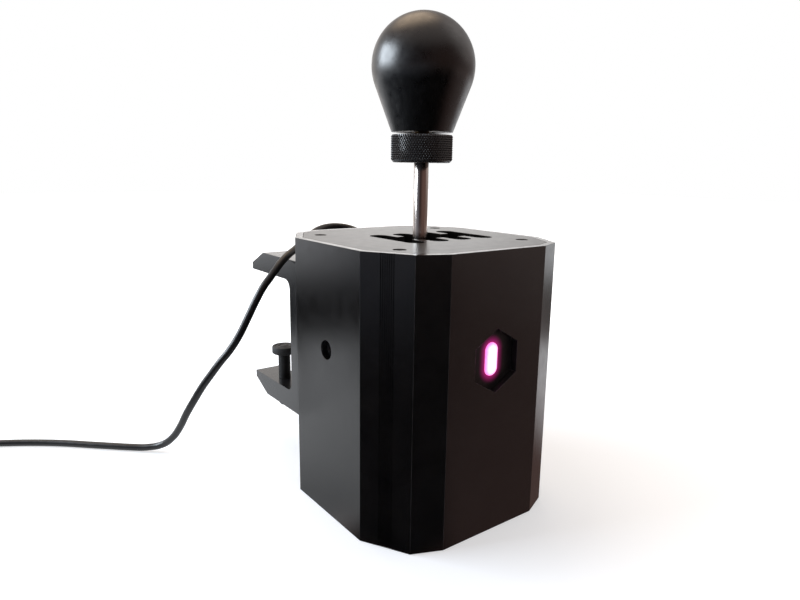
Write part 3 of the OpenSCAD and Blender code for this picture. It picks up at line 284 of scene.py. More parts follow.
def blasted(name, dark, light, edge_colour, low, high, pits=0.16, ior=1.5):
    """Blasted and anodised metal, clouded from dark to light and lighter in patches on its bevelled edges."""
    material, tree, shader = finish(name, 0.4, ior=ior)
    coords = place(tree)
    colour = two_tone(tree, spread(tree, grain(tree, coords, 70.0, 4.0), 0.0, 1.0), dark, light)
    edge = node(tree, "ShaderNodeAttribute", attribute_name="edge").outputs["Fac"]
    edge_patches = number(tree, "MULTIPLY", edge, spread(tree, grain(tree, coords, 240.0, 3.0), 0.25, 0.9))
    tree.links.new(two_tone(tree, edge_patches, colour, edge_colour), shader.inputs["Base Color"])
    tree.links.new(spread(tree, grain(tree, coords, 190.0, 3.0), low, high), shader.inputs["Roughness"])
    bumped(tree, shader, grain(tree, coords, 2400.0), pits, 0.0002)
    return material


def smoothed(shape, sharp):
    """Shades a shape smooth except at its corners."""
    for face in shape.faces:
        face.smooth = True
    for e in shape.edges:
        e.smooth = len(e.link_faces) == 2 and e.calc_face_angle() < math.radians(sharp)


def settled(name, shape, material, sharp=25.0):
    """A finished object from a shape."""
    smoothed(shape, sharp)
    for face in shape.faces:
        face.material_index = 0
    mesh = bpy.data.meshes.new(name)
    shape.to_mesh(mesh)
    shape.free()
    mesh.materials.append(material)
    return added(name, mesh)


def applied(made, modifier):
    """The plain mesh that a modifier gives, once it is taken off again."""
    view_layer = bpy.context.evaluated_depsgraph_get()
    mesh = bpy.data.meshes.new_from_object(made.evaluated_get(view_layer), depsgraph=view_layer)
    made.modifiers.remove(modifier)
    return mesh


def softened(name, cad_node, material, bevel, skip=None):
    """A copy of a solid with its machined edges broken by a small bevel."""
    shape = bmesh.new()
    shape.from_mesh(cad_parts[cad_node].data)
    shape.transform(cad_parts[cad_node].matrix_world)
    bmesh.ops.remove_doubles(shape, verts=shape.verts, dist=1e-6)
    bmesh.ops.dissolve_limit(shape, angle_limit=math.radians(0.6), verts=shape.verts, edges=shape.edges)
    edge = shape.faces.layers.float.new("edge")
    corners = [
        e for e in shape.edges
        if len(e.link_faces) == 2 and e.calc_face_angle() > math.radians(20)
        and not (skip and skip((e.verts[0].co + e.verts[1].co) / 2))
    ]
    broken = bmesh.ops.bevel(
        shape, geom=corners, offset=bevel, segments=2, profile=0.5, affect="EDGES", clamp_overlap=True
    )
    for face in broken["faces"]:
        face[edge] = 1.0
    made = settled(name, shape, material, 60.0)
    weighing = made.modifiers.new("flat_faces", "WEIGHTED_NORMAL")
    weighing.keep_sharp = True
    weighing.weight = 100
    made.data = applied(made, weighing)
    return made


def fitted(piece, body, slot, *cad_nodes):
    """Puts a piece on its body, in place of the solids that it dresses."""
    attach(piece, body)
    if cad_nodes:
        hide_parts(*cad_nodes)
    return piece


black_anodised = blasted(
    "black_anodised", (0.006, 0.006, 0.0066), (0.0095, 0.0092, 0.0095), (0.055, 0.055, 0.058),
    0.18, 0.24, pits=0.12, ior=1.6,
)
facet_from = Vector((0.060, 0.0316))
facet_to = Vector((0.0466, 0.05555))
grooves_from = 0.0095
grooves_to = 0.0182
groove_depth = 0.0015


def grooved(point):
    """Whether a point is in the grooves of a corner facet, which stay sharp."""
    along = (facet_to - facet_from).normalized()
    away = Vector((abs(point.x), abs(point.y))) - facet_from
    return grooves_from < away.dot(along) < grooves_to and abs(away.cross(along)) < groove_depth


tube = softened("body_tube", "body_shell", black_anodised, bevel=0.00035, skip=grooved)
fitted(tube, "housing", "black_anodised", "body_shell")


# Gate plate: milled flat aluminium let into the body's top, finer blasted than the body. Its sides
# and the walls of its four joined slots and its holes are darker and duller: painted shade. Four cap
# screws hold it, sunk in their holes. Light linking keeps the window lamp's glare off the plate and
# the tube.
gate_black = blasted(
    "gate_black", (0.008, 0.008, 0.0085), (0.012, 0.012, 0.0125), (0.07, 0.07, 0.073),
    0.30, 0.33, pits=0.03, ior=1.6,
)
painted_wall_shade = blasted(
    "painted_wall_shade", (0.004, 0.004, 0.0042), (0.007, 0.007, 0.0073), (0.02, 0.02, 0.021), 0.6, 0.7, ior=1.25
)
gate = softened("gate_top", "gate_plate", gate_black, bevel=0.0005)
gate.data.materials.append(painted_wall_shade)
# Faces that do not face up take the darker, duller material: painted shade in the slots and holes.
for face in gate.data.polygons:
    if face.normal.z < 0.5:
        face.material_index = 1
fitted(gate, "housing", "gate_black", "gate_plate")
shaded = bpy.data.collections.new("shaded_from_window")
shaded.objects.link(gate)
shaded.objects.link(tube)
for kept_dark in shaded.collection_objects:
    kept_dark.light_linking.link_state = "EXCLUDE"
window_lamp.light_linking.receiver_collection = shaded


def oxide(name, colour, roughness, metallic=0.0, ior=1.8):
    """Steel with a fine mottled skin."""
    material, tree, shader = finish(name, roughness, metallic, ior)
    coords = place(tree)
    tone = spread(tree, grain(tree, coords, 500.0, 4.0), 0.0, 1.0)
    tree.links.new(two_tone(tree, tone, colour, [1.9 * c for c in colour]), shader.inputs["Base Color"])
    dullness = spread(tree, grain(tree, coords, 900.0), roughness - 0.08, roughness + 0.1)
    tree.links.new(dullness, shader.inputs["Roughness"])
    bumped(tree, shader, grain(tree, coords, 3000.0), 0.15, 0.0001)
    return material


def repeat_tree(name, output, **sizes):
    """Starts a tree that takes places, sizes and a finish, and gives what the output names."""
    tree = bpy.data.node_groups.new(name, "GeometryNodeTree")
    tree.interface.new_socket("Places", in_out="INPUT", socket_type="NodeSocketGeometry")
    for label, size in sizes.items():
        tree.interface.new_socket(label, in_out="INPUT", socket_type="NodeSocketFloat").default_value = size
    tree.interface.new_socket("Finish", in_out="INPUT", socket_type="NodeSocketMaterial")
    tree.interface.new_socket(output, in_out="OUTPUT", socket_type="NodeSocketGeometry")
    return tree, tree.nodes.new("NodeGroupInput").outputs


def set_out(tree, given, shape, output, **turning):
    """Ends a tree: the shape at each place, turned along the place's aim, in the finish."""
    aim = node(
        tree, "GeometryNodeInputNamedAttribute", {"Name": "aim"}, data_type="FLOAT_VECTOR"
    ).outputs["Attribute"]
    turn = node(tree, "FunctionNodeAlignRotationToVector", {"Vector": aim}, **turning).outputs["Rotation"]
    copies = node(
        tree, "GeometryNodeInstanceOnPoints",
        {"Points": given["Places"], "Instance": shape, "Rotation": turn},
    ).outputs[0]
    solid = node(tree, "GeometryNodeRealizeInstances", {"Geometry": copies}).outputs[0]
    finished = node(
        tree, "GeometryNodeSetMaterial", {"Geometry": solid, "Material": given["Finish"]}
    ).outputs[0]
    tree.links.new(finished, tree.nodes.new("NodeGroupOutput").inputs[output])
    return tree


def cap_screw_tree():
    """Cap screws with a six-sided key hole, one at each place."""
    tree, given = repeat_tree(
        "cap_screws", "Screws", Head=0.00275, Height=0.003, Shank=0.0015, Length=0.0086, Key=0.0025
    )
    corner_by_flat = 0.57735

    def share(size, part):
        return number(tree, "MULTIPLY", given[size], part)

    def round_bar(radius, length, sides, middle):
        bar = node(
            tree, "GeometryNodeMeshCylinder", {"Vertices": sides, "Radius": radius, "Depth": length}
        ).outputs["Mesh"]
        lift = node(tree, "ShaderNodeCombineXYZ", {"Z": middle}).outputs[0]
        return node(tree, "GeometryNodeTransform", {"Geometry": bar, "Translation": lift}).outputs[0]

    head = round_bar(given["Head"], share("Height", 0.9), 28, share("Height", 0.45))
    crown = round_bar(share("Head", 0.92), share("Height", 0.98), 28, share("Height", 0.51))
    shank = round_bar(given["Shank"], given["Length"], 20, share("Length", -0.5))
    key = round_bar(share("Key", corner_by_flat), given["Height"], 6, share("Height", 0.9))
    bodies = node(tree, "GeometryNodeMeshBoolean", operation="UNION", solver="EXACT")
    for part in (head, crown, shank):
        tree.links.new(part, bodies.inputs["Mesh 2"])
    cut = node(
        tree, "GeometryNodeMeshBoolean", {"Mesh 1": bodies.outputs[0], "Mesh 2": key},
        operation="DIFFERENCE", solver="EXACT",
    ).outputs[0]
    return set_out(tree, given, cut, "Screws", axis="Z")


def grown(name, tree, places, **sizes):
    """Runs a tree on places, each a spot and an aim, and keeps what it makes as a plain mesh."""
    seed = bpy.data.meshes.new(name + "_places")
    seed.from_pydata([spot for spot, _ in places], [], [])
    aims = seed.attributes.new("aim", "FLOAT_VECTOR", "POINT")
    for i, (_, direction) in enumerate(places):
        aims.data[i].vector = direction
    made = added(name, seed)
    growth = made.modifiers.new("growth", "NODES")
    growth.node_group = tree
    for item in tree.interface.items_tree:
        if item.in_out == "INPUT" and item.name in sizes:
            growth[item.identifier] = sizes[item.name]
    mesh = applied(made, growth)
    shape = bmesh.new()
    shape.from_mesh(mesh)
    smoothed(shape, 32.0)
    shape.to_mesh(mesh)
    shape.free()
    made.data = mesh
    bpy.data.meshes.remove(seed)
    return made


def at_corners(x, y, z, aim):
    """Four places at one height about the middle, all with the same aim."""
    return [((across * x, along * y, z), aim) for across in (-1, 1) for along in (-1, 1)]


def screwed(name, places, body, slot, cad_node, **sizes):
    """A set of cap screws as one piece."""
    fitted(grown(name, cap_screws, places, **sizes), body, slot, cad_node)


black_steel = oxide("black_steel", (0.010, 0.010, 0.0105), 0.5, 0.0, 1.4)
plain_steel = oxide("plain_steel", (0.34, 0.35, 0.36), 0.34, 1.0)
cap_screws = cap_screw_tree()
post_x = 0.0414
post_y = 0.03685
gate_screw_places = at_corners(post_x, post_y, z=0.1431, aim=(0, 0, 1))
screwed(
    "gate_plate_screws", gate_screw_places, "housing", "black_steel", "gate_screws", Finish=black_steel
)


# Base plate: a blasted plate let into the body's underside, drilled for bolts to a deck. Its
# cap screws go up into the same four posts.
base = softened("base_floor", "base_plate", black_anodised, bevel=0.0003)
fitted(base, "housing", "black_anodised", "base_plate")
base_screw_places = at_corners(post_x, post_y, z=0.0034, aim=(0, 0, -1))
screwed(
    "base_plate_screws", base_screw_places, "housing", "black_steel", "base_screws", Finish=black_steel
)


# Inner frame: two milled alloy bearing blocks with bronze bushes, screwed to the base plate, and
# the spring adjusters in their sleeves on the body's side walls.
def machined(name, colour, roughness, marks=900.0):
    """Bare milled metal, with its tool marks along Y."""
    material, tree, shader = finish(name, roughness, 1.0)
    passes = grain(tree, place(tree, (1.0, 0.05, 1.0)), marks, 3.0)
    tone = spread(tree, passes, 0.0, 1.0)
    tree.links.new(two_tone(tree, tone, [0.8 * c for c in colour], colour), shader.inputs["Base Color"])
    dullness = spread(tree, grain(tree, place(tree), 300.0, 3.0), roughness - 0.06, roughness + 0.1)
    tree.links.new(dullness, shader.inputs["Roughness"])
    bumped(tree, shader, passes, 0.12, 0.0001)
    return material


def moulded(name, colour, roughness, texture=1800.0, strength=0.2, ior=1.5):
    """Plastic or rubber with the fine texture of its mould."""
    material, tree, shader = finish(name, roughness, 0.0, ior)
    coords = place(tree)
    cloud = spread(tree, grain(tree, coords, 110.0, 3.0), 0.0, 1.0)
    tree.links.new(two_tone(tree, cloud, colour, [1.5 * c for c in colour]), shader.inputs["Base Color"])
    dullness = spread(tree, grain(tree, coords, 260.0, 3.0), roughness - 0.05, roughness + 0.07)
    tree.links.new(dullness, shader.inputs["Roughness"])
    bumped(tree, shader, grain(tree, coords, texture), strength, 0.0002)
    return material


def coated(material, *cad_nodes):
    """Gives solids that are kept as they are their finish."""
    for cad_node in cad_nodes:
        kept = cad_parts[cad_node]
        if not kept.material_slots:
            kept.data.materials.append(material)
        for holder in kept.material_slots:
            holder.material = material


bare_alloy = machined("bare_alloy", (0.62, 0.63, 0.65), 0.32)
bronze = machined("bronze", (0.60, 0.38, 0.17), 0.36, 1600.0)
dark_plastic = moulded("dark_plastic", (0.014, 0.014, 0.015), 0.48)
spacer_plastic = moulded("spacer_plastic", (0.42, 0.42, 0.40), 0.45)
coated(bare_alloy, "front_bearing_block", "rear_bearing_block", "adjuster_sleeves")
coated(bronze, "select_bushes", "board_standoffs")
coated(black_steel, "spring_adjusters")
screwed(
    "bearing_block_screws", at_corners(x=0.02275, y=0.0389, z=0.012, aim=(0, 0, 1)),
    "housing", "plain_steel", "block_screws",
    Head=0.0038, Height=0.0022, Shank=0.002, Length=0.011, Key=0.0025, Finish=plain_steel,
)


# Circuit boards: glass-fibre boards with a green mask over copper tracks. The main one stands off
# the rear wall on four pillars; small ones carry the light and the position sensors.
def printed(name):
    """Green mask, paler where a copper track runs under it."""
    material, tree, shader = finish(name, 0.34)
    tracks = node(
        tree, "ShaderNodeTexVoronoi", {"Vector": place(tree), "Scale": 420.0},
        feature="DISTANCE_TO_EDGE", distance="EUCLIDEAN",
    ).outputs["Distance"]
    copper = spread(tree, tracks, 1.0, 0.0, 0.04, 0.07)
    mask = two_tone(tree, copper, (0.006, 0.060, 0.026), (0.012, 0.115, 0.05))
    tree.links.new(mask, shader.inputs["Base Color"])
    bumped(tree, shader, copper, 0.3, 0.00005)
    return material


circuit_board = printed("circuit_board")
coated(circuit_board, "led_board", "main_board", "select_sensor_board", "shift_sensor_board")
coated(dark_plastic, "board_chips")
board_front = 0.05065
screwed(
    "main_board_screws",
    [((x, board_front, z), (0, -1, 0)) for x in (-0.023, 0.023) for z in (0.066, 0.096)],
    "housing", "plain_steel", "board_screws",
    Head=0.0022, Height=0.0016, Shank=0.0012, Length=0.0056, Key=0.0016, Finish=plain_steel,
)


# Window light: a dark plate behind the six-sided window, with a painted magenta glow round the
# milky capsule-shaped lens in it, which is lit from behind, white in the middle and magenta at its
# rim.
lens_middle = 0.0917
lens_half_line = 0.0045
lens_radius = 0.004


def from_lens(tree):
    """Distance from the straight middle line of the lens."""
    apart = node(tree, "ShaderNodeSeparateXYZ", {"Vector": place(tree)}).outputs
    off_middle = number(tree, "ABSOLUTE", number(tree, "SUBTRACT", apart["Z"], lens_middle), 0.0)
    past_end = number(tree, "MAXIMUM", number(tree, "SUBTRACT", off_middle, lens_half_line), 0.0)
    squares = number(
        tree, "ADD", number(tree, "POWER", apart["X"], 2.0), number(tree, "POWER", past_end, 2.0)
    )
    return number(tree, "SQRT", squares, 0.0)


dark_plate = moulded("dark_plate_glow", (0.008, 0.007, 0.008), 0.42)
dark_plate_tree = dark_plate.node_tree
dark_plate_shader = dark_plate_tree.nodes["Principled BSDF"]
# The plate glows magenta round the lens and fades out from its rim: a painted glow.
glow_fade = spread(dark_plate_tree, from_lens(dark_plate_tree), 1.0, 0.0, 0.0036, 0.0086)
painted_glow = number(dark_plate_tree, "POWER", glow_fade, 2.0)
dark_plate_tree.links.new(
    two_tone(dark_plate_tree, painted_glow, (0.0, 0.0, 0.0), (0.55, 0.01, 0.22)), dark_plate_shader.inputs["Emission Color"]
)
dark_plate_shader.inputs["Emission Strength"].default_value = 0.8
window_plate = softened("window_plate", "badge_plate", dark_plate, bevel=0.0002)
fitted(window_plate, "housing", "dark_plastic", "badge_plate")
light_lens, lens_tree, lens_shader = finish("light_lens", 0.28)
milk = number(lens_tree, "MULTIPLY", grain(lens_tree, place(lens_tree), 700.0, 3.0), 0.0008)
from_core = number(lens_tree, "ADD", from_lens(lens_tree), milk)
rim_share = spread(lens_tree, from_core, 0.0, 1.0, 0.0022, 0.0046)
glow_colour = two_tone(lens_tree, rim_share, (1.0, 0.80, 0.96), (0.95, 0.16, 0.62))
lens_tree.links.new(glow_colour, lens_shader.inputs["Base Color"])
lens_tree.links.new(glow_colour, lens_shader.inputs["Emission Color"])
lens_shader.inputs["Emission Strength"].default_value = 1.3


def lofted(name, rings, material, sharp=25.0):
    """A closed skin through rings of points, flat at both ends."""
    shape = bmesh.new()
    loops = [[shape.verts.new(p) for p in ring] for ring in rings]
    for lower, upper in zip(loops, loops[1:]):
        for i in range(len(lower)):
            j = (i + 1) % len(lower)
            shape.faces.new((lower[i], lower[j], upper[j], upper[i]))
    shape.faces.new(loops[0])
    shape.faces.new(loops[-1])
    bmesh.ops.recalc_face_normals(shape, faces=shape.faces)
    return settled(name, shape, material, sharp)


lens_sides = 64
lens_rings = []
for front, inset in (
    (-0.05525, 0.0), (-0.0584, 0.0), (-0.0588, 0.00012),
    (-0.05905, 0.0005), (-0.05919, 0.0011), (-0.05925, 0.002),
):
    ring = []
    for i in range(lens_sides):
        angle = 2 * math.pi * i / lens_sides
        lift = lens_half_line if math.sin(angle) > 1e-9 else -lens_half_line
        radius = lens_radius - inset
        ring.append((radius * math.cos(angle), front, lens_middle + lift + radius * math.sin(angle)))
    lens_rings.append(ring)
fitted(lofted("window_lens", lens_rings, light_lens), "housing", "light_lens", "badge_lens")


# Selector: a milled ring that tilts sideways on two steel pins, with the yoke plates and the detent
# cradle screwed to it.
dark_alloy = machined("dark_alloy", (0.20, 0.20, 0.21), 0.38)
magnet = machined("magnet", (0.55, 0.54, 0.52), 0.22, 2200.0)
for name, cad_node in (("tilting_ring", "selector_ring"), ("detent_block", "detent_cradle")):
    fitted(softened(name, cad_node, bare_alloy, bevel=0.0003), "selector", "bare_alloy", cad_node)
for name, cad_node in (("yoke_plate_left", "yoke_left"), ("yoke_plate_right", "yoke_right")):
    fitted(softened(name, cad_node, dark_alloy, bevel=0.0003), "selector", "dark_alloy", cad_node)
coated(plain_steel, "select_pins")
coated(bronze, "axle_bushes")
coated(magnet, "select_magnet", "shift_magnet")
screwed(
    "yoke_plate_screws",
    [((way * 0.028, along * 0.0152, 0.044), (way, 0, 0)) for way in (-1, 1) for along in (-1, 1)],
    "selector", "plain_steel", "yoke_screws",
    Head=0.0038, Height=0.0022, Shank=0.002, Length=0.0095, Key=0.0025, Finish=plain_steel,
)
screwed(
    "detent_block_screws", at_corners(x=0.02075, y=0.007333, z=0.0203, aim=(0, 0, -1)),
    "selector", "plain_steel", "cradle_screws",
    Head=0.00275, Height=0.003, Shank=0.0015, Length=0.0207, Key=0.0025, Finish=plain_steel,
)


# Springs: wound spring-steel wire with a closed turn at each end. Two push the selector to its
# middle from the side adjusters; a small one in the hub presses the detent ball down.
def winding_tree(name, round_wire):
    """A round wire or a thread's ridge, wound along each place's aim."""
    tree, given = repeat_tree(
        name, "Winding", Radius=0.0045, Turns=8.0, Length=0.032, Wire=0.0012, Crest=0.0002
    )
    coil = node(
        tree, "GeometryNodeCurveSpiral",
        {"Resolution": 36, "Rotations": given["Turns"], "Start Radius": given["Radius"],
         "End Radius": given["Radius"], "Height": given["Length"]},
    ).outputs["Curve"]
    if round_wire:
        thickness = number(tree, "MULTIPLY", given["Wire"], 0.5)
        section = node(
            tree, "GeometryNodeCurvePrimitiveCircle", {"Resolution": 12, "Radius": thickness}
        ).outputs["Curve"]
        closed = node(
            tree, "GeometryNodeCurvePrimitiveCircle", {"Resolution": 36, "Radius": given["Radius"]}
        ).outputs["Curve"]
        top = node(tree, "ShaderNodeCombineXYZ", {"Z": given["Length"]}).outputs[0]
        far = node(tree, "GeometryNodeTransform", {"Geometry": closed, "Translation": top}).outputs[0]
        strands = node(tree, "GeometryNodeJoinGeometry")
        for strand in (coil, closed, far):
            tree.links.new(strand, strands.inputs[0])
        coil = strands.outputs[0]
    else:
        ridge_section = node(
            tree, "GeometryNodeCurvePrimitiveQuadrilateral",
            {"Bottom Width": given["Wire"], "Top Width": given["Crest"], "Offset": 0.0,
             "Height": number(tree, "MULTIPLY", given["Wire"], 0.75)},
            mode="TRAPEZOID",
        ).outputs["Curve"]
        section = node(
            tree, "GeometryNodeTransform", {"Geometry": ridge_section, "Rotation": (0.0, 0.0, -math.pi / 2)}
        ).outputs[0]
    steady = node(tree, "GeometryNodeSetCurveNormal", {"Curve": coil}, mode="Z_UP").outputs[0]
    wire = node(
        tree, "GeometryNodeCurveToMesh", {"Curve": steady, "Profile Curve": section, "Fill Caps": True}
    ).outputs[0]
    return set_out(tree, given, wire, "Winding", axis="Z")


spring_steel = machined("spring_steel", (0.58, 0.58, 0.60), 0.24, 2600.0)
springs = winding_tree("springs", True)
spring_height = 0.092
for label, way in (("left", -1), ("right", 1)):
    spring = grown(
        "centring_spring_" + label, springs, [((way * 0.0146, 0, spring_height), (way, 0, 0))],
        Radius=0.0045, Turns=8.0, Length=0.0308, Wire=0.0012, Finish=spring_steel,
    )
    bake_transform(spring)
    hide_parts("centring_springs")
fitted(
    grown(
        "ball_spring", springs, [((0, 0, 0.0282), (0, 0, 1))],
        Radius=0.00255, Turns=6.0, Length=0.0100, Wire=0.0005, Finish=spring_steel,
    ),
    "lever", "spring_steel", "detent_spring",
)


# Lever: a ground steel rod screwed into a milled hub and locked with a nut. The hub turns on the
# shift axle between two plastic spacers, and holds the detent ball.
polished_steel, rod_tree, rod_shader = finish("polished_steel", 0.16, 1.0)
streaks = grain(rod_tree, place(rod_tree, (1.0, 1.0, 0.012)), 900.0, 4.0)
rod_tone = two_tone(
    rod_tree, spread(rod_tree, streaks, 0.0, 1.0), (0.44, 0.40, 0.37), (0.58, 0.55, 0.52)
)
rod_tree.links.new(rod_tone, rod_shader.inputs["Base Color"])
rod_tree.links.new(spread(rod_tree, streaks, 0.12, 0.2), rod_shader.inputs["Roughness"])
bumped(rod_tree, rod_shader, streaks, 0.02, 0.0001)


def turned(name, outline, material, spot=(0, 0, 0), aim=(0, 0, 1), sides=72, sharp=25.0):
    """A lathe-turned piece: an outline of (radius, height) pairs spun about its axis."""
    shape = bmesh.new()
    rings = []
    for radius, height in outline:
        steps = [2 * math.pi * i / sides for i in range(sides)] if radius > 0 else [0.0]
        rings.append([shape.verts.new((radius * math.cos(a), radius * math.sin(a), height)) for a in steps])
    for lower, upper in zip(rings, rings[1:]):
        for i in range(sides):
            j = (i + 1) % sides
            corners = (
                lower[i % len(lower)], lower[j % len(lower)], upper[j % len(upper)], upper[i % len(upper)]
            )
            unlike = list(dict.fromkeys(corners))
            if len(unlike) > 2:
                shape.faces.new(unlike)
    way = Vector((0, 0, 1)).rotation_difference(Vector(aim)).to_matrix().to_4x4()
    shape.transform(Matrix.Translation(spot) @ way)
    return settled(name, shape, material, sharp)


rod_outline = [(0, 0.049), (0.0034, 0.049), (0.004, 0.0496), (0.004, 0.2317), (0.0034, 0.2323), (0, 0.2323)]
fitted(turned("lever_rod", rod_outline, polished_steel), "lever", "polished_steel", "shift_rod")
fitted(softened("pivot_hub", "lever_hub", bare_alloy, bevel=0.0003), "lever", "bare_alloy", "lever_hub")
coated(plain_steel, "shift_axle", "axle_clips", "rod_lock_nut", "detent_ball")
coated(spacer_plastic, "axle_spacers")
coated(bronze, "knob_insert")


# Collar: a turned black ring under the knob, gripped by a diamond knurl between plain rims. It
# locks the knob on the rod's thread.
def knurl_tree():
    """Four-sided points that stand out from a round core, one along each place's aim."""
    tree, given = repeat_tree("knurl", "Points", Width=0.0009, Stretch=1.7, Rise=0.0006)
    tip = number(tree, "MULTIPLY", given["Width"], 0.12)
    point = node(
        tree, "GeometryNodeMeshCone",
        {"Vertices": 4, "Radius Top": tip, "Radius Bottom": given["Width"], "Depth": given["Rise"]},
    ).outputs["Mesh"]
    outward = node(
        tree, "GeometryNodeTransform", {"Geometry": point, "Rotation": (0.0, math.pi / 2, 0.0)}
    ).outputs[0]
    tall = node(tree, "ShaderNodeCombineXYZ", {"X": 1.0, "Y": 1.0, "Z": given["Stretch"]}).outputs[0]
    diamond = node(tree, "GeometryNodeTransform", {"Geometry": outward, "Scale": tall}).outputs[0]
    return set_out(tree, given, diamond, "Points", axis="X", pivot_axis="Z")


collar_black = oxide("collar_black", (0.010, 0.010, 0.011), 0.3, 0.0, 1.9)
collar_bore = 0.0041
collar_foot = 0.1865
collar_top = 0.2009
collar_outline = [
    (collar_bore, collar_foot), (0.01435, collar_foot), (0.01512, 0.18665), (0.01572, 0.18709),
    (0.0159, 0.18765), (0.01592, 0.2006), (0.01565, collar_top), (collar_bore, collar_top),
    (collar_bore, collar_foot),
]
fitted(
    turned("collar_core", collar_outline, collar_black, sides=96), "lever", "collar_black", "knob_collar"
)
knurl_rows = 11
knurl_steps = 74
knurl_radius = 0.01585
knurl_foot = 0.1885
knurl_pitch = 0.00114
knurl_places = []
for row in range(knurl_rows):
    for step in range(knurl_steps):
        angle = 2 * math.pi * (step + 0.5 * (row % 2)) / knurl_steps
        across, along = math.cos(angle), math.sin(angle)
        spot = (knurl_radius * across, knurl_radius * along, knurl_foot + knurl_pitch * row)
        knurl_places.append((spot, (across, along, 0.0)))
fitted(
    grown(
        "collar_knurl", knurl_tree(), knurl_places,
        Width=0.00067, Stretch=1.7, Rise=0.00065, Finish=collar_black,
    ),
    "lever", "collar_black",
)


# Knob: a turned bulb of hard black plastic, satin all over, screwed down on the rod by the bronze
# insert moulded into it.
knob_black = moulded("knob_black", (0.0022, 0.0022, 0.0025), 0.31, 2600.0, 0.07, 1.65)
knob_foot = 0.2023
neck_radius = 0.0165
neck_rise = 0.033
belly_radius = 0.027
bore_radius = 0.0056
bore_top = knob_foot + 0.0203
bulb_steps = 48
neck_meets = math.acos(belly_radius / math.hypot(neck_radius, neck_rise)) - math.atan2(neck_rise, neck_radius)
bulb = [
    (0, bore_top), (bore_radius, bore_top), (bore_radius, knob_foot),
    (0.0162, knob_foot), (0.01642, 0.20239), (neck_radius, 0.2026),
]
for i in range(bulb_steps + 1):
    angle = neck_meets + (math.pi / 2 - neck_meets) * i / bulb_steps
    radius = belly_radius * math.cos(angle) if i < bulb_steps else 0
    bulb.append((radius, knob_foot + neck_rise + belly_radius * math.sin(angle)))
fitted(turned("knob_bulb", bulb, knob_black, sides=96, sharp=35.0), "lever", "knob_black", "knob")


# Clamp: a milled plate bolted to the body's rear and two C-shaped arms screwed to it, all blasted
# and anodised as the body is. Nut bars inside the body take the plate's bolts.
for name, cad_node, bevel in (
    ("clamp_back", "clamp_plate", 0.0005), ("clamp_hook_left", "clamp_arm_left", 0.0006),
    ("clamp_hook_right", "clamp_arm_right", 0.0006), ("nut_bars", "clamp_nut_bars", 0.0003),
):
    fitted(softened(name, cad_node, black_anodised, bevel), "housing", "black_anodised", cad_node)
bolt_seat = 0.06725
screwed(
    "clamp_back_bolts",
    [((x, bolt_seat, z), (0, 1, 0)) for x in (-0.01625, 0.01625) for z in (0.0419, 0.1158)],
    "housing", "black_steel", "clamp_plate_screws",
    Head=0.00475, Height=0.00275, Shank=0.0025, Length=0.013, Key=0.003, Finish=black_steel,
)
coated(black_steel, "arm_screws")


# Clamp screws: headless black steel screws, M8, with a key socket below and a round tip that
# carries a swivel pad. Turning one drives its pad up against the table.
threads = winding_tree("threads", False)
pad_rubber = moulded("pad_rubber", (0.018, 0.018, 0.018), 0.7, 900.0, 0.35)
arm_x = 0.0325
screw_y = 0.10405
screw_foot = 0.0237
thread_foot = screw_foot + 0.0007
pad_foot = 0.060
screw_outline = [
    (0, 0.005), (0.0023, 0.005), (0.0023, 0.0003), (0.0026, 0), (0.0032, 0), (0.0034, 0.0004),
    (0.0034, 0.0356), (0.0032, 0.036), (0.0025, 0.036), (0.0025, 0.0382), (0.0021, 0.0386), (0, 0.0386),
]
pad_outline = [
    (0, 0.0027), (0.00255, 0.0027), (0.00255, 0), (0.0074, 0), (0.008, 0.0006), (0.008, 0.0044),
    (0.0078, 0.0048), (0.0074, 0.005), (0.0062, 0.005), (0.0059, 0.0046), (0.0053, 0.0046), (0.005, 0.005),
    (0.0038, 0.005), (0.0035, 0.0046), (0.0029, 0.0046), (0.0026, 0.005), (0, 0.005),
]
for label, way in (("left", -1), ("right", 1)):
    arm_middle = way * arm_x
    core = turned(
        "clamp_screw_core_" + label, screw_outline, black_steel, (arm_middle, screw_y, screw_foot), sides=48
    )
    fitted(core, label + "_screw", "black_steel", "clamp_screw_" + label)
    ridge = grown(
        "clamp_screw_thread_" + label, threads, [((arm_middle, screw_y, thread_foot), (0, 0, 1))],
        Radius=0.00363, Turns=27.6, Length=0.0345, Wire=0.00095, Crest=0.00016, Finish=black_steel,
    )
    fitted(ridge, label + "_screw", "black_steel")
    pad = turned(
        "swivel_pad_" + label, pad_outline, pad_rubber, (arm_middle, screw_y, pad_foot), sides=56, sharp=40.0
    )
    fitted(pad, label + "_pad", "pad_rubber", "clamp_pad_" + label)


# Gland: a moulded strain relief in the rear wall, held by a nut inside, with a ribbed boot that
# keeps the lead from kinking.
gland_ribs = 6
rib_pitch = 0.00185
first_rib = 0.06545
boot = [
    (0, 0.04825), (0.0032, 0.04825), (0.0035, 0.04855), (0.0035, 0.06225), (0.0055, 0.06225),
    (0.006, 0.06275), (0.006, 0.06475), (0.0055, 0.06525),
]
for i in range(gland_ribs):
    out_to = 0.00432 - 0.00142 * i / gland_ribs
    start = first_rib + rib_pitch * i
    boot += [
        (out_to - 0.0007, start), (out_to - 0.0007, start + 0.0006), (out_to - 0.0001, start + 0.0007),
        (out_to - 0.0001, start + 0.0016), (out_to - 0.0005, start + 0.0017),
    ]
boot += [
    (0.0029, 0.0766), (0.0029, 0.0771), (0.00275, 0.07725), (0.00235, 0.07725), (0.00235, 0.0764), (0, 0.0764)
]
gland = turned("gland_boot", boot, dark_plastic, (0.022, 0, 0.135), (0, 1, 0), sides=48)
fitted(gland, "housing", "dark_plastic", "cable_gland")
coated(dark_plastic, "gland_nut")


# Lead: one length of soft black cable, 4.5 mm thick. It hangs from the gland, drops to the floor on
# the left and runs off to a coil of flat loops that ends at the plug. Its points are in millimetres.
cable_rubber = moulded("cable_rubber", (0.006, 0.006, 0.0065), 0.34, 700.0, 0.08)
mm = 0.001


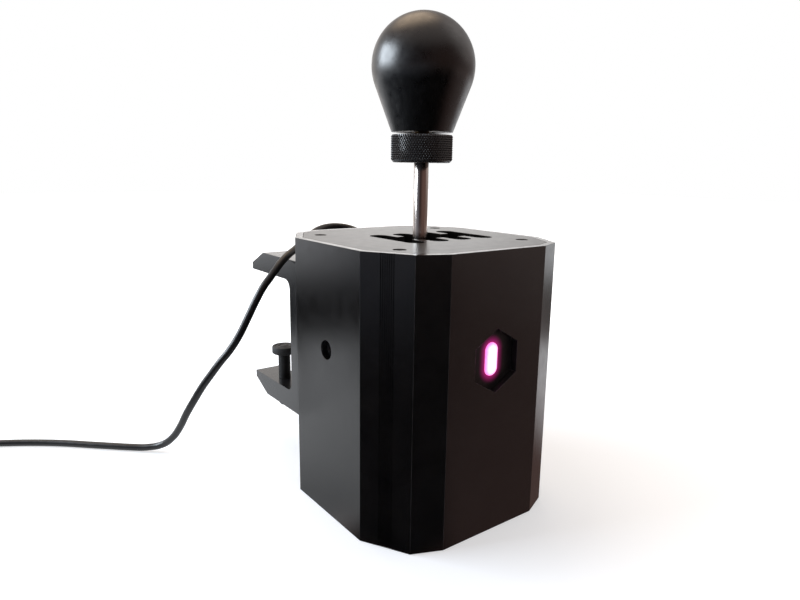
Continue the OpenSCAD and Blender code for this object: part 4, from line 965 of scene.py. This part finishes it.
def strung(name, points, radius, material):
    """A round cable along one smooth line of points, given in millimetres."""
    line = bpy.data.curves.new(name, "CURVE")
    line.dimensions = "3D"
    line.bevel_depth = radius
    line.bevel_resolution = 5
    line.resolution_u = 5
    line.use_fill_caps = True
    strand = line.splines.new("BEZIER")
    strand.bezier_points.add(len(points) - 1)
    for knot, point in zip(strand.bezier_points, points):
        knot.co = [mm * c for c in point]
        knot.handle_left_type = knot.handle_right_type = "AUTO"
    line.materials.append(material)
    return added(name, line)


inner_route = [
    (22, 48.25, 135), (22, 46.25, 135), (22, 44.25, 134), (22, 43.25, 131), (21.5, 43.75, 127),
    (20, 45.25, 123), (15, 47.15, 119), (9, 47.65, 107), (8, 47.65, 103), (8, 47.65, 100),
]
inner_cable = strung("inner_cable", inner_route, 0.0015, cable_rubber)
fitted(inner_cable, "housing", "cable_rubber", "inner_lead")
lead_route = [
    (22, 77.25, 135), (22, 82, 135), (21.7, 87.5, 136.9), (20, 93, 140.2), (16, 98.5, 142.5),
    (10, 102.3, 143.6), (3, 103.5, 143.6), (-4.5, 102, 142.6), (-12, 98, 140.8), (-20, 92.5, 138),
    (-27.5, 86.5, 135.4), (-35, 81, 132.8), (-41.5, 76.7, 130.6), (-47.5, 74, 127), (-52.5, 72, 122.8),
    (-57, 71, 118.2), (-61, 70.5, 114), (-66.5, 70.5, 105.5), (-71, 72, 96), (-76, 74.5, 85),
    (-81, 77.5, 76), (-86, 81, 68.5), (-90, 85, 61), (-94, 89.5, 53), (-98, 95.5, 42.5),
    (-101, 102.5, 32), (-103, 110.5, 21), (-106, 118.5, 11.5), (-110.5, 126, 5.3), (-118, 133, 2.8),
    (-127, 141, 2.3), (-137, 150, 2.3), (-148, 160, 2.3), (-160, 171, 2.3), (-174, 182, 2.3),
    (-189, 192, 2.3), (-204, 200.5, 2.4), (-219, 206.5, 2.9), (-233, 208.9, 3.4), (-241, 209, 3.6),
    (-245.5, 209, 3.6),
]
coil_x = -250
coil_y = 175
lower_layer = 3.6
layer_rise = 5
points_a_turn = 24
coil_points = 151
inmost_loop = 19
loop_pitch = 5
middle_turn = 3
climb_from = 2.75
climb_over = 0.5
for i in range(coil_points):
    turn = i / points_a_turn
    climb = min(max((turn - climb_from) / climb_over, 0.0), 1.0)
    loop = inmost_loop + loop_pitch * abs(turn - middle_turn)
    angle = math.radians(90 + 360 * turn)
    lead_route.append((
        coil_x + loop * math.cos(angle), coil_y + loop * math.sin(angle),
        lower_layer + layer_rise * climb * climb * (3 - 2 * climb),
    ))
plug_x = -285.25
plug_z = 4
lead_route += [
    (plug_x, 167, 8.3), (plug_x, 159, 7.2), (plug_x, 151, 4.7), (plug_x, 143.5, plug_z), (plug_x, 139, plug_z)
]
lead = strung("lead_cable", lead_route, 0.00225, cable_rubber)
fitted(lead, "housing", "cable_rubber", "cable_lead", "cable_coil")


# Strap: a woven hook-and-loop band round the coil's bundle of loops, its end pressed down over
# itself on top.
strap_fabric, strap_tree, strap_shader = finish("strap_fabric", 0.85)
weave = node(
    strap_tree, "ShaderNodeTexWave", {"Vector": place(strap_tree), "Scale": 900.0, "Distortion": 1.5},
    wave_type="BANDS", bands_direction="X",
).outputs["Fac"]
strap_tone = two_tone(strap_tree, weave, (0.012, 0.012, 0.013), (0.030, 0.030, 0.032))
strap_tree.links.new(strap_tone, strap_shader.inputs["Base Color"])
bumped(strap_tree, strap_shader, weave, 0.5, 0.0003)
band_section = ((-1, 0.7), (-0.94, 1), (0.94, 1), (1, 0.7), (1, 0.3), (0.94, 0), (-0.94, 0), (-1, 0.3))


def banded(shape, line, closed, half_width, thick, x):
    """A flat band along a line of (y, z) points, with its width along X."""
    loops = []
    for i, (y, z) in enumerate(line):
        back_y, back_z = line[i - 1] if closed or i else line[i]
        on_y, on_z = line[(i + 1) % len(line)] if closed or i < len(line) - 1 else line[i]
        run = Vector((on_y - back_y, on_z - back_z)).normalized()
        out = Vector((run.y, -run.x))
        loops.append([
            shape.verts.new((x + u * half_width, y + out.x * v * thick, z + out.y * v * thick))
            for u, v in band_section
        ])
    for lower, upper in zip(loops, loops[1:] + loops[:1] if closed else loops[1:]):
        for i in range(len(band_section)):
            j = (i + 1) % len(band_section)
            shape.faces.new((lower[i], lower[j], upper[j], upper[i]))
    if not closed:
        shape.faces.new(loops[0])
        shape.faces.new(loops[-1])


strap_x = -0.250
strap_bend = 0.0031
strap_steps = 8
strap_line = []
for mid_y, mid_z, from_angle in (
    (0.15345, 0.00405, -90), (0.15345, 0.00815, 0), (0.14355, 0.00815, 90), (0.14355, 0.00405, 180)
):
    for i in range(strap_steps + 1):
        angle = math.radians(from_angle + 90 * i / strap_steps)
        strap_line.append((mid_y + strap_bend * math.cos(angle), mid_z + strap_bend * math.sin(angle)))
lap_line = [(0.1535, 0.01216), (0.1525, 0.01221), (0.148, 0.01222), (0.1445, 0.01216), (0.1433, 0.01205)]
strap_shape = bmesh.new()
banded(strap_shape, strap_line, True, 0.004, 0.0009, strap_x)
banded(strap_shape, lap_line, False, 0.0039, 0.0007, strap_x)
bmesh.ops.recalc_face_normals(strap_shape, faces=strap_shape.faces)
strap = fitted(settled("coil_strap", strap_shape, strap_fabric), "housing", "strap_fabric", "cable_tie")


# Plug: a moulded grip with finger ribs and a slotted strain relief, and a folded steel shell with
# two spring windows in each wide face, half filled by a plastic tongue with four contacts. Its
# sizes are in millimetres; a grip's ring is its place, half width, half height and squareness.
finger_ribs = 4
relief_slots = 4
profile = [(113.0, 6.7, 3.3, 4.5), (113.4, 7.3, 3.8, 5.0), (114.2, 7.5, 4.0, 5.0), (116.5, 7.5, 4.0, 5.0)]
for i in range(finger_ribs):
    at = 117.0 + 1.8 * i
    profile += [
        (at, 7.1, 3.95, 5.0), (at + 0.7, 7.1, 3.95, 5.0), (at + 1.0, 7.5, 4.0, 5.0), (at + 1.5, 7.5, 4.0, 5.0)
    ]
profile += [(125.5, 7.5, 4.0, 4.5), (127.5, 7.0, 3.95, 4.0), (129.3, 5.6, 3.8, 3.0), (130.3, 4.0, 3.7, 2.3)]
for i in range(relief_slots):
    at = 130.8 + 1.9 * i
    out_to = 3.6 - 0.17 * i
    slot_to = out_to - 0.5
    profile += [
        (at, out_to, out_to, 2.0), (at + 1.1, out_to, out_to, 2.0),
        (at + 1.2, slot_to, slot_to, 2.0), (at + 1.7, slot_to, slot_to, 2.0),
    ]
profile += [(138.5, 2.9, 2.9, 2.0), (139.0, 2.6, 2.6, 2.0)]
grip_sides = 48
grip_rings = []
for along, half_w, half_h, square in profile:
    ring = []
    for i in range(grip_sides):
        angle = 2 * math.pi * i / grip_sides
        c, s = math.cos(angle), math.sin(angle)
        x = plug_x + half_w * math.copysign(abs(c) ** (2 / square), c)
        z = plug_z + half_h * math.copysign(abs(s) ** (2 / square), s)
        ring.append((mm * x, mm * along, mm * z))
    grip_rings.append(ring)
grip = fitted(lofted("plug_grip", grip_rings, dark_plastic, 30.0), "housing", "dark_plastic", "usb_plug_body")

plug_metal = machined("plug_metal", (0.70, 0.71, 0.72), 0.26, 1200.0)
half_shell = 2.25
shell_bend = 0.6
shell_steps = 4
window_near = 1.4
window_far = 3.6
window_stops = (window_far, window_near, -window_near, -window_far)
round_line = []
for mid_x, mid_z, from_angle in ((5.4, 1.65, 0), (-5.4, 1.65, 90), (-5.4, -1.65, 180), (5.4, -1.65, 270)):
    for i in range(shell_steps + 1):
        angle = math.radians(from_angle + 90 * i / shell_steps)
        round_line.append((mid_x + shell_bend * math.cos(angle), mid_z + shell_bend * math.sin(angle)))
    if from_angle == 0:
        round_line += [(x, half_shell) for x in window_stops]
    if from_angle == 180:
        round_line += [(-x, -half_shell) for x in window_stops]
shell_shape = bmesh.new()
shell_loops = []
for along in (101.0, 104.6, 107.1, 113.0):
    spots = [(mm * (plug_x + x), mm * along, mm * (plug_z + z)) for x, z in round_line]
    shell_loops.append([shell_shape.verts.new(spot) for spot in spots])
for k, (near, far) in enumerate(zip(shell_loops, shell_loops[1:])):
    for i, (x, z) in enumerate(round_line):
        j = (i + 1) % len(round_line)
        spans = {abs(x), abs(round_line[j][0])} == {window_near, window_far}
        window = k == 1 and abs(z) == half_shell and spans
        if not window:
            shell_shape.faces.new((near[i], near[j], far[j], far[i]))
bmesh.ops.recalc_face_normals(shell_shape, faces=shell_shape.faces)
bmesh.ops.solidify(shell_shape, geom=shell_shape.faces[:], thickness=0.0004)
bmesh.ops.recalc_face_normals(shell_shape, faces=shell_shape.faces)
shell = fitted(settled("plug_shell", shell_shape, plug_metal), "housing", "plug_metal", "usb_plug_shell")


def blocks(name, boxes, material):
    """Plain blocks, each given as (middle, size) in millimetres."""
    shape = bmesh.new()
    for middle, size in boxes:
        spot = Matrix.Translation([mm * c for c in middle])
        stretch = Matrix.Diagonal([mm * c for c in size]).to_4x4()
        bmesh.ops.create_cube(shape, size=1.0, matrix=spot @ stretch)
    return settled(name, shape, material)


tongue = blocks("plug_tongue", [((plug_x, 107.2, 3.05), (11.0, 11.4, 1.7))], spacer_plastic)
contacts = blocks(
    "plug_contacts", [((plug_x + x, 106.0, 3.92), (1.0, 7.4, 0.1)) for x in (-3.5, -1.0, 1.0, 3.5)], bronze
)
fitted(tongue, "housing", "spacer_plastic", "usb_plug_shell")
fitted(contacts, "housing", "bronze")
